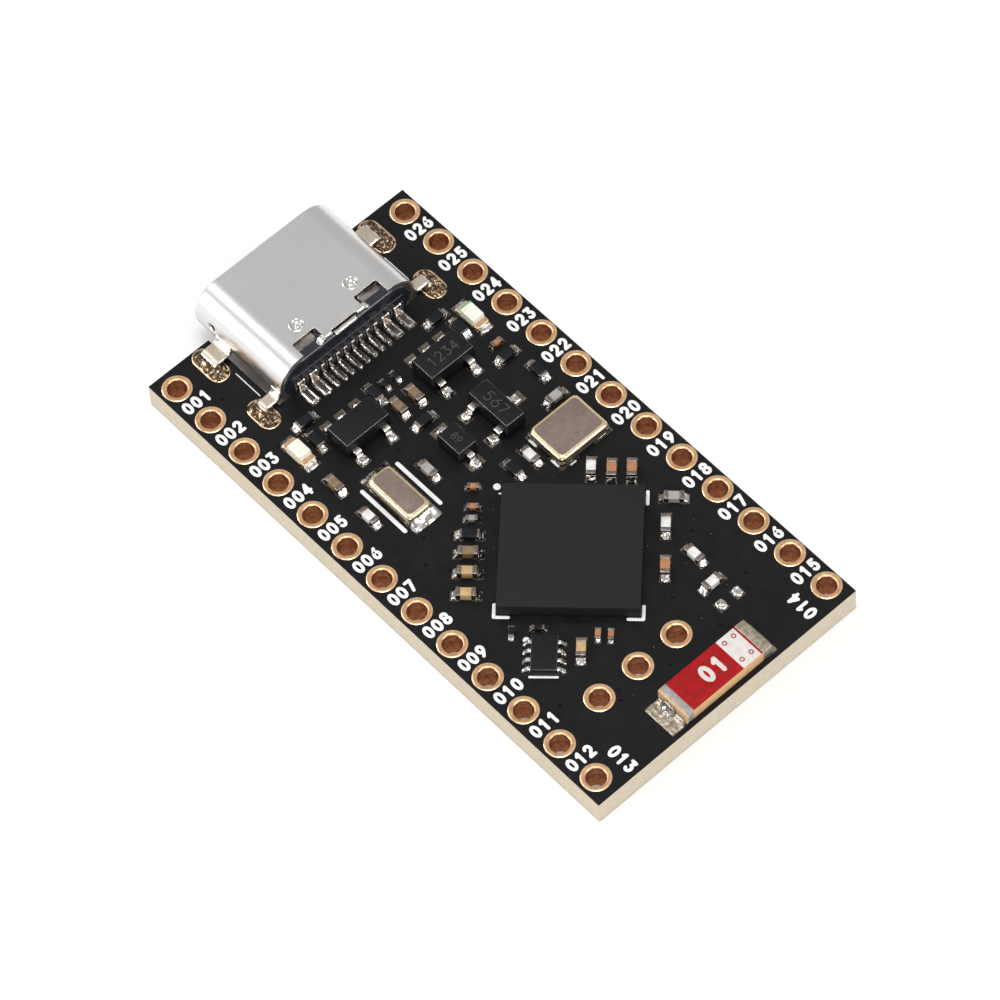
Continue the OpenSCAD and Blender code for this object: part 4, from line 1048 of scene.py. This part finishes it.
for i, (x, y) in enumerate(SPECKS):
    k = 0.75 + 0.35 * noise.noise(Vector((x * 3.1, y * 2.7, 0.5)))
    tents.add(sv * np.array([k * 0.8, k * 0.8, 1]), sf, 0, place(x, y, BT))
    # a darker disc in each speck: painted shade
    tents.add(pv * np.array([k, k, 1]), pf, 1, place(x, y, BT))
    if i % 2 == 0:
        v, f = rbox(0.05, 0.036, 0.03, 0.012, 1)
        tents.add(v, f, 2, place(x + 0.085 * math.cos(i * 1.7), y + 0.085 * math.sin(i * 1.7), BT + 0.006, i * 40))
tents.make("via_tents", ["mask", "pit", "terminal"], "solder_mask")

# ------------------------------------------------------------------ USB socket
slo, shi = box_mm("usb_shell")
tlo, thi = box_mm("usb_tongue")
hlo, hhi = box_mm("usb_housing")
UX = (hlo[0] + hhi[0]) / 2
UY0, UY1 = slo[1], shi[1]
WALL = 0.3
UW, UH = (hhi[0] - hlo[0]) + 2 * WALL, (hhi[2] - hlo[2]) + 2 * WALL
UZ = (hhi[2] + hlo[2]) / 2
UR = UH / 2


def stadium(w, h, n=20):
    r = h / 2
    pts = []
    for sx, a0 in ((1, -90), (-1, 90)):
        for i in range(n + 1):
            a = math.radians(a0 + 180 * i / n)
            pts.append((sx * (w / 2 - r) + r * math.cos(a), r * math.sin(a)))
    return pts


def to_object(name, shape, mats):
    me = bpy.data.meshes.new(name)
    me.from_pydata([(x * MM, y * MM, z * MM) for x, y, z in shape.v], [], shape.f)
    for m in mats:
        me.materials.append(MAT[m])
    me.polygons.foreach_set("material_index", shape.k)
    bm = bmesh.new()
    bm.from_mesh(me)
    bmesh.ops.recalc_face_normals(bm, faces=bm.faces)
    bm.to_mesh(me)
    bm.free()
    o = bpy.data.objects.new(name, me)
    bpy.context.collection.objects.link(o)
    return o


def carve(base, cutters, bevel=0.03, segments=2, angle=30):
    """Cuts the cutters out of base, rounds what is sharp, and bakes the result into base's mesh."""
    for c in cutters:
        b = base.modifiers.new("cut", "BOOLEAN")
        b.operation = "DIFFERENCE"
        b.solver = "EXACT"
        b.object = c
    if bevel:
        bv = base.modifiers.new("round", "BEVEL")
        bv.width = bevel * MM
        bv.segments = segments
        bv.limit_method = "ANGLE"
        bv.angle_limit = math.radians(angle)
        bv.use_clamp_overlap = True
        bv.harden_normals = False
        # bevel faces take slot 1, which on the shell is the lighter steel: painted highlight
        bv.material = 1
    dg = bpy.context.evaluated_depsgraph_get()
    me = bpy.data.meshes.new_from_object(base.evaluated_get(dg))
    base.modifiers.clear()
    old = base.data
    base.data = me
    bpy.data.meshes.remove(old)
    for c in cutters:
        bpy.data.objects.remove(c, do_unlink=True)
    me.polygons.foreach_set("use_smooth", [True] * len(me.polygons))
    me.set_sharp_from_angle(angle=math.radians(50))
    wn = base.modifiers.new("even", "WEIGHTED_NORMAL")
    wn.mode = "FACE_AREA"
    wn.weight = 90
    wn.keep_sharp = True
    return base


def shell_tube():
    s = Shape()
    outer, inner = stadium(UW, UH), stadium(UW - 2 * WALL, UH - 2 * WALL)
    n = len(outer)
    lip = 0.10
    # profile rows from the mouth's inner edge, round the lip, along the outside, and back through the rear
    rows = [(inner, UY0 + 0.30, 0.0), (inner, UY0 + 0.05, 0.0), (inner, UY0, 0.07), (outer, UY0, -0.11), (outer, UY0 + 0.035, -0.035),
            (outer, UY0 + lip, 0.0), (outer, UY0 + 3.2, 0.0), (outer, UY1, 0.0), (inner, UY1, 0.0)]
    for prof, y, grow in rows:
        for x, z in prof:
            d = math.hypot(max(abs(x) - (UW / 2 - UR), 0), z)
            nx = (abs(x) - (UW / 2 - UR)) / d * math.copysign(1, x) if d > 1e-6 and abs(x) > UW / 2 - UR else 0.0
            nz = z / d if d > 1e-6 else 0.0
            s.v.append((UX + x + nx * grow, y, UZ + z + nz * grow))
    m = len(rows)
    for a in range(m):
        b = (a + 1) % m
        for i in range(n):
            j = (i + 1) % n
            s.f.append((a * n + i, a * n + j, b * n + j, b * n + i))
            # the rows round the mouth lip take the lighter steel: painted highlight
            s.k.append(1 if a in (1, 2, 3, 4) else 0)
    return to_object("usb_shell_satin", s, ["steel", "steel_painted_highlight", "shade"])


def shade_below(o, index):
    """Painted shade: the downward-facing faces of the shell's lower half, which face the cut-out, and the rear-facing
    walls near the top, in the windows and the rear relief, get the darker metal.
    """
    for p in o.data.polygons:
        c = p.center / MM
        if c.z < UZ - 0.35 and p.normal.z < -0.1 and c.y > UY0 + 0.12:
            p.material_index = index
        if c.z > UZ + UR - 0.32 and c.y < UY1 - 0.1 and p.normal.y > 0.97:
            p.material_index = index


def cutter(name, v, f, at):
    s = Shape()
    s.add(v, f, 0, at)
    return to_object(name, s, ["steel_painted_highlight"])


shell = shell_tube()
cutters = []
for i, sx in enumerate((-1, 1)):
    # latch window: square towards the mouth, open at the rear edge
    v, f = rbox(1.50, 2.0, 1.2, 0.12, 3)
    cutters.append(cutter("window%d" % i, v, f, place(UX + sx * 2.03, UY1 + 0.12, UZ + UR)))
v, f = rbox(1.66, 0.55, 1.2, 0.10, 3)
cutters.append(cutter("rear_relief", v, f, place(UX, UY1 + 0.09, UZ + UR)))
for i, sx in enumerate((-1, 1)):
    v, f = lathe([(0.0001, -0.9), (0.20, -0.9), (0.20, 0.9), (0.0001, 0.9)], 24)
    r = np.array([[0, 0, 1], [0, 1, 0], [-1, 0, 0]], float)
    cutters.append(cutter("side_hole%d" % i, v * np.array([1, 1.25, 1]), f, (r, np.array([UX + sx * 4.3, -16.16, UZ + 0.24]))))
for i, sx in enumerate((-1, 1)):
    # punched dimple: a shallow round cup
    rows = [(0.0001, -0.16), (0.12, -0.15), (0.20, -0.125), (0.27, -0.085), (0.33, -0.03), (0.36, 0.05), (0.0001, 0.05)]
    v, f = lathe(rows, 32)
    cutters.append(cutter("dimple%d" % i, v, f, place(UX + sx * 1.79, -12.62, UZ + UR)))
shell = carve(shell, cutters, bevel=0.055, segments=2)
shell.name = "usb_shell_satin"
shade_below(shell, 2)
finish_piece(shell, ["usb_shell"])

# what shows in and beside the windows: spring tongues, the punched marks' floors. The latch tongues, the punched marks'
# rings and centres and the frame tongue take the lighter steel: painted highlight.
trim = Shape()
for sx in (-1, 1):
    x = UX + sx * 1.33
    # latch tongue, bent down into the window
    pts = fillet_path([(UX + sx * 0.90, UY1 - 0.20, UZ + UR - 0.09), (UX + sx * 1.40, UY1 - 0.20, UZ + UR - 0.065),
                       (UX + sx * 1.86, UY1 - 0.22, UZ + UR - 0.72)], 0.5, 9)
    v, f = strap(pts, 0.40, 0.20, 0.085, side=(0, 1, 0))
    trim.add(v, f, 1)
    # wide spring, sloping down into the socket, in the blotchy darker steel: painted shade
    x = UX + sx * 2.12
    pts = fillet_path([(x, UY1 - 1.0, UZ + UR - 0.24), (x, UY1 - 0.66, UZ + UR - 0.28), (x, UY1 - 0.36, UZ + UR - 0.44)], 0.3, 5)
    v, f = strap(pts, 1.24, 0.12, 0.05, side=(1, 0, 0))
    trim.add(v, f, 3)
    # ring and centre of the punched mark
    rv, rf = lathe([(0.25, -0.115), (0.30, -0.075), (0.36, -0.012), (0.40, 0.012), (0.43, 0.004), (0.43, -0.03), (0.30, -0.14)], 36)
    trim.add(rough_up(rv, 0.006, 6, sx), rf, 1, place(UX + sx * 1.79, -12.62, UZ + UR))
    v, f = disc(0.13, 0.05, 0.03, 18)
    trim.add(rough_up(v, 0.012, 9, sx + 4), f, 1, place(UX + sx * 1.79 - 0.02, -12.60, UZ + UR - 0.155))
# tongue of the inner frame, just under the relief in the rear edge
v, f = rbox(1.44, 0.20, 0.10, 0.035, 2, (10, 2, 1))
trim.add(rough_up(v, 0.010, 7, 2.2), f, 1, place(UX, UY1 - 0.045, UZ + UR - 0.20))
v, f = rbox(1.40, 0.07, 0.06, 0.02, 1, (10, 1, 1))
trim.add(rough_up(v, 0.006, 7, 5.1), f, 1, place(UX, UY1 + 0.075, UZ + UR - 0.26))
trim.make("usb_shell_springs", ["steel", "steel_painted_highlight", "shade", "spring"], "shell_steel")

# legs: bent out of the side walls, over the board and down into the slots
legs = Shape()
slot_x = {1: 5.5, -1: -5.58}
for sx in (-1, 1):
    for yc, w in ((-15.28, 1.15), (-11.36, 0.66)):
        zl = BT + 0.27
        xs = slot_x[sx]
        z_side = UZ - 0.10
        wall_x = UX + sx * (UW / 2 - 0.10)
        pts = [(wall_x, yc, z_side), (UX + sx * (UW / 2 + 0.07), yc, zl), (xs - sx * 0.0, yc, zl), (xs, yc, 0.35)]
        path = fillet_path(pts, 0.34, 7)
        v, f = strap(path, w, 0.28, 0.05, side=(0, 1, 0))
        # the bent parts take the lighter steel (painted highlight), the flat tops the tan
        ks = []
        for q in f:
            cen = np.mean([v[i] for i in q], axis=0)
            flat = abs(cen[2] - (zl + 0.14)) < 0.03
            ks.append(1 if flat else 0)
        legs.add(v, f, ks)
legs.make("usb_shell_legs", ["steel_painted_highlight", "leg_flat"], "shell_steel")

# slot copper and the brown, rough solder round the legs
slot_ring, slot_fill = Shape(), Shape()


def capsule_ring(w, l, n=14):
    r = w / 2
    out = []
    for cyy, a0 in ((l / 2 - r, 0), (-(l / 2 - r), 180)):
        for i in range(n + 1):
            a = math.radians(a0 + 180 * i / n)
            out.append((r * math.cos(a), cyy + r * math.sin(a)))
    return out


for si, (xa, xb, ya, yb) in enumerate(SLOTS):
    cx, cy = (xa + xb) / 2, (ya + yb) / 2
    w, l = xb - xa, yb - ya
    t = BT
    prof = [(0.0, t - 0.02), (0.004, t + 0.004), (0.03, t + 0.018), (0.09, t + 0.022), (0.20, t + 0.018), (0.25, t + 0.004),
            (0.27, t - 0.04), (0.27, 0.05), (0.25, 0.0), (0.0, 0.0), (0.0, 0.03), (0.24, 0.05), (0.24, t - 0.06), (0.20, t - 0.03)]
    v, f, ks = [], [], []
    n = 0
    for inset, z in prof:
        ring = capsule_ring(w - 2 * inset, l - 2 * inset)
        n = len(ring)
        v += [(x, y, z) for x, y in ring]
    m = len(prof)
    for a in range(m):
        b = (a + 1) % m
        for i in range(n):
            j = (i + 1) % n
            f.append((a * n + i, a * n + j, b * n + j, b * n + i))
            # rim faces take the lighter copper: painted highlight
            ks.append(1 if a in (0, 1, 2, 4) else 0)
    slot_ring.add(v, f, ks, place(cx, cy, 0))
    # solder: a lumpy field over the slot, climbing the leg
    sx = 1 if cx > 0 else -1
    yc, lw = ((-15.28, 1.15) if cy < -13 else (-11.36, 0.66))
    v, f = solder_field(w - 0.13, l - 0.13, [(-0.16, 0.16, yc - cy - lw / 2, yc - cy + lw / 2, 0.20, 0.26)], base=0.055, seed=si * 5.7,
                        lumps=0.13, n=(22, 44), freq=5.5, corner=0.55, wobble=0.03)
    slot_fill.add(v, f, 0, place(cx, cy, BT + 0.012))
    ring = capsule_ring(w - 0.56, l - 0.56)
    n = len(ring)
    v = [(x, y, 0.03) for x, y in ring] + [(x, y, BT) for x, y in ring]
    f = [(i, (i + 1) % n, n + (i + 1) % n, n + i) for i in range(n)] + [tuple(range(n - 1, -1, -1)), tuple(range(n, 2 * n))]
    slot_fill.add(v, f, 0, place(cx, cy, 0))
slot_ring.make("slot_rings", ["copper", "copper_rim"], "copper_plating", ["slot_plating"])
slot_fill.make("leg_solder", ["slot_solder"], "solder", ["usb_leg_solder"])

# moulded housing: stadium block with a ledge across its rear face
hs = Shape()
inner = stadium(UW - 2 * WALL - 0.02, UH - 2 * WALL - 0.02, 20)
rows = [(UY0 + 4.9, 0.0), (UY1 - 0.02, 0.0), (UY1 + 0.02, 0.03), (UY1 + 0.045, 0.09)]
n = len(inner)
v, f = [], []
for y, inset in rows:
    for x, z in inner:
        r = math.hypot(max(abs(x) - (UW / 2 - UR), 0), z)
        k = 1 - inset / max(UR - WALL, 0.1)
        zz = z * k
        xx = math.copysign(max(abs(x) - inset, 0), x)
        zc = UZ + zz
        if y > UY1 - 0.03 and zc < BT + 0.005:
            zc = BT + 0.005
        v.append((UX + xx, y, zc))
for a in range(len(rows) - 1):
    for i in range(n):
        j = (i + 1) % n
        f.append((a * n + i, a * n + j, (a + 1) * n + j, (a + 1) * n + i))
f.append(tuple(range(n)))
f.append(tuple((len(rows) - 1) * n + i for i in range(n)))
hs.add(v, f, 0)
v, f = rbox(7.3, 0.09, 1.27, 0.035, 2, (6, 1, 2))
hs.add(v, f, 0, place(UX, UY1 + 0.035, BT + 0.64))
# ribs between the tails, in the lighter grey: painted highlight
for x in (-3.55, -2.8, -2.08, -1.5, -1.0, -0.5, 0.0, 0.5, 1.0, 1.5, 2.08, 2.8, 3.55):
    v, f = rbox(0.11, 0.10, 0.70, 0.035, 2)
    hs.add(v, f, 1, place(UX + x, UY1 + 0.075, BT + 0.40))
hs.make("usb_housing_block", ["housing", "mould_painted_highlight"], "connector_plastic", ["usb_housing"])

tg = Shape()
tw, tt = thi[0] - tlo[0], thi[2] - tlo[2]
v, f = rbox(tw, thi[1] - tlo[1], tt, 0.10, 3, (4, 3, 1))
tg.add(v, f, 0, place((tlo[0] + thi[0]) / 2, (tlo[1] + thi[1]) / 2, UZ))
v, f = rbox(tw + 0.5, 0.9, tt + 0.55, 0.12, 3, (4, 1, 1))
tg.add(v, f, 0, place((tlo[0] + thi[0]) / 2, thi[1] - 0.42, UZ))
tg.make("usb_tongue_block", ["housing"], "connector_plastic", ["usb_tongue"])

UPPER = (-3.2, -1.25, -0.25, 0.75, 1.75, 2.4)
LOWER = (-2.4, -1.75, -0.75, 0.25, 1.25, 3.2)
for node, xs, up in (("usb_contacts_upper", UPPER, True), ("usb_contacts_lower", LOWER, False)):
    s = Shape()
    for i, x in enumerate(xs):
        w = 0.5 if abs(x) > 2 else 0.26
        sgn = 1 if up else -1
        # blade on the tongue
        z = UZ + sgn * (tt / 2 + 0.012)
        pts = fillet_path([(UX + x, UY0 + 1.35, z - sgn * 0.12), (UX + x, UY0 + 1.6, z), (UX + x, UY0 + 4.6, z)], 0.1, 4)
        v, f = strap(pts, w, 0.07, 0.02, side=(1, 0, 0))
        s.add(v, f, 0)
        # tail: out of the housing's foot and flat on its land
        yb = UY1 + 0.06
        pts = fillet_path([(UX + x, yb - 0.10, BT + 0.72), (UX + x, yb + 0.04, BT + 0.62), (UX + x, yb + 0.12, BT + 0.09),
                           (UX + x, -9.80, BT + 0.075)], 0.12, 5)
        # Wide tails: bright edge strips with a darker middle strip; narrow tails: darker flat faces with lighter steel
        # chamfers. The darker tin is painted shade, the lighter chamfers painted highlight.
        if w > 0.4:
            for e in (-1, 1):
                v, f = strap([p + np.array([e * (w / 2 - 0.07), 0, 0.012]) for p in pts], 0.12, 0.13, 0.03, side=(1, 0, 0))
                s.add(rough_up(v, 0.006, 5, i + x + e), f, 1)
            v, f = strap(pts, w - 0.14, 0.10, 0.02, side=(1, 0, 0))
            s.add(v, f, 2)
        else:
            v, f = strap(pts, w, 0.13, 0.05, side=(1, 0, 0))
            ks = [(3, 2, 3, 1, 3, 2, 3, 1)[j % 8] for j in range(len(f) - 2)] + [1, 1]
            s.add(rough_up(v, 0.004, 5, i + x), f, ks)
        v, f = solder_field(0.34 if w < 0.4 else 0.58, 1.16, [(-w / 2, w / 2, 0.36, 0.50, 0.13, 0.10)], base=0.022, seed=x * 3.1 + 2,
                            lumps=0.028, n=(9, 22), freq=6, wobble=0.04)
        solder.add(v, f, 0, place(UX + x, -10.31, BT))
    s.make(node.replace("usb_contacts", "usb_blades"), ["gold", "tail", "tail_flat_painted_shade", "steel_painted_highlight"], "contact_gold", [node])
solder.make("solder_joints_reflowed", ["solder"], "solder", ["solder_joints"], angle=60)

# ------------------------------------------------------------------ floor, light, camera
bpy.ops.mesh.primitive_plane_add(size=3.0, location=(0, 0, 0))
floor = bpy.context.object
floor.name = "floor"
fm = bpy.data.materials.new("floor_pale")
fm.use_nodes = True
fb = fm.node_tree.nodes["Principled BSDF"]
fb.inputs["Base Color"].default_value = (0.90, 0.90, 0.90, 1)
fb.inputs["Roughness"].default_value = 0.85
fb.inputs["Specular IOR Level"].default_value = 0.1
floor.data.materials.append(fm)

scene = bpy.context.scene
world = bpy.data.worlds.new("studio")
scene.world = world
world.use_nodes = True
world.node_tree.nodes["Background"].inputs["Color"].default_value = (1, 1, 1, 1)
world.node_tree.nodes["Background"].inputs["Strength"].default_value = 0.60
scene.view_settings.view_transform = "Standard"


def area(name, az, el, dist, size, power, aim=(0, 0, 0.001), size_y=None):
    """A soft box seen from the board's middle at azimuth az (0 is -Y, 90 is +X) and elevation el."""
    a, e = math.radians(az), math.radians(el)
    p = Vector((math.sin(a) * math.cos(e), -math.cos(a) * math.cos(e), math.sin(e))) * dist
    d = bpy.data.lights.new(name, "AREA")
    d.shape = "RECTANGLE"
    d.size = size
    d.size_y = size_y or size
    d.energy = power
    o = bpy.data.objects.new(name, d)
    o.location = p
    o.rotation_euler = (Vector(aim) - p).to_track_quat("-Z", "Y").to_euler()
    bpy.context.collection.objects.link(o)
    return o


area("top_box", 150, 84, 0.60, 0.20, 1.25)
area("key_box", 62, 24, 0.50, 0.17, 0.85)
area("edge_box", 203, 25, 0.50, 0.17, 0.75)
area("back_box", 15, 50, 0.60, 0.14, 0.50)
area("front_box", 141, 18, 0.50, 0.12, 0.32)

AZ, EL, ROLL, FPX, DIST, TX, TY = 141.563, 58.3971, -4.7911, 5797.0234, 283.8077, 0.1225, -0.6994
az, el, ro = map(math.radians, (AZ, EL, ROLL))
back = Vector((math.sin(az) * math.cos(el), -math.cos(az) * math.cos(el), math.sin(el)))
right = Vector((math.cos(az), math.sin(az), 0))
up = back.cross(right)
r2 = right * math.cos(ro) + up * math.sin(ro)
u2 = -right * math.sin(ro) + up * math.cos(ro)
cam_data = bpy.data.cameras.new("camera")
cam_data.sensor_width = 36.0
cam_data.lens = FPX / 1000 * 36.0
cam_data.clip_start = 0.01
cam_data.clip_end = 20
cam = bpy.data.objects.new("camera", cam_data)
loc = (r2 * TX + u2 * TY + back * DIST) * MM + Vector((0, 0, BT * MM))
cam.matrix_world = Matrix.Translation(loc) @ Matrix((
    (r2.x, u2.x, back.x), (r2.y, u2.y, back.y), (r2.z, u2.z, back.z))).to_4x4()
bpy.context.collection.objects.link(cam)
scene.camera = cam

bpy.context.view_layer.update()
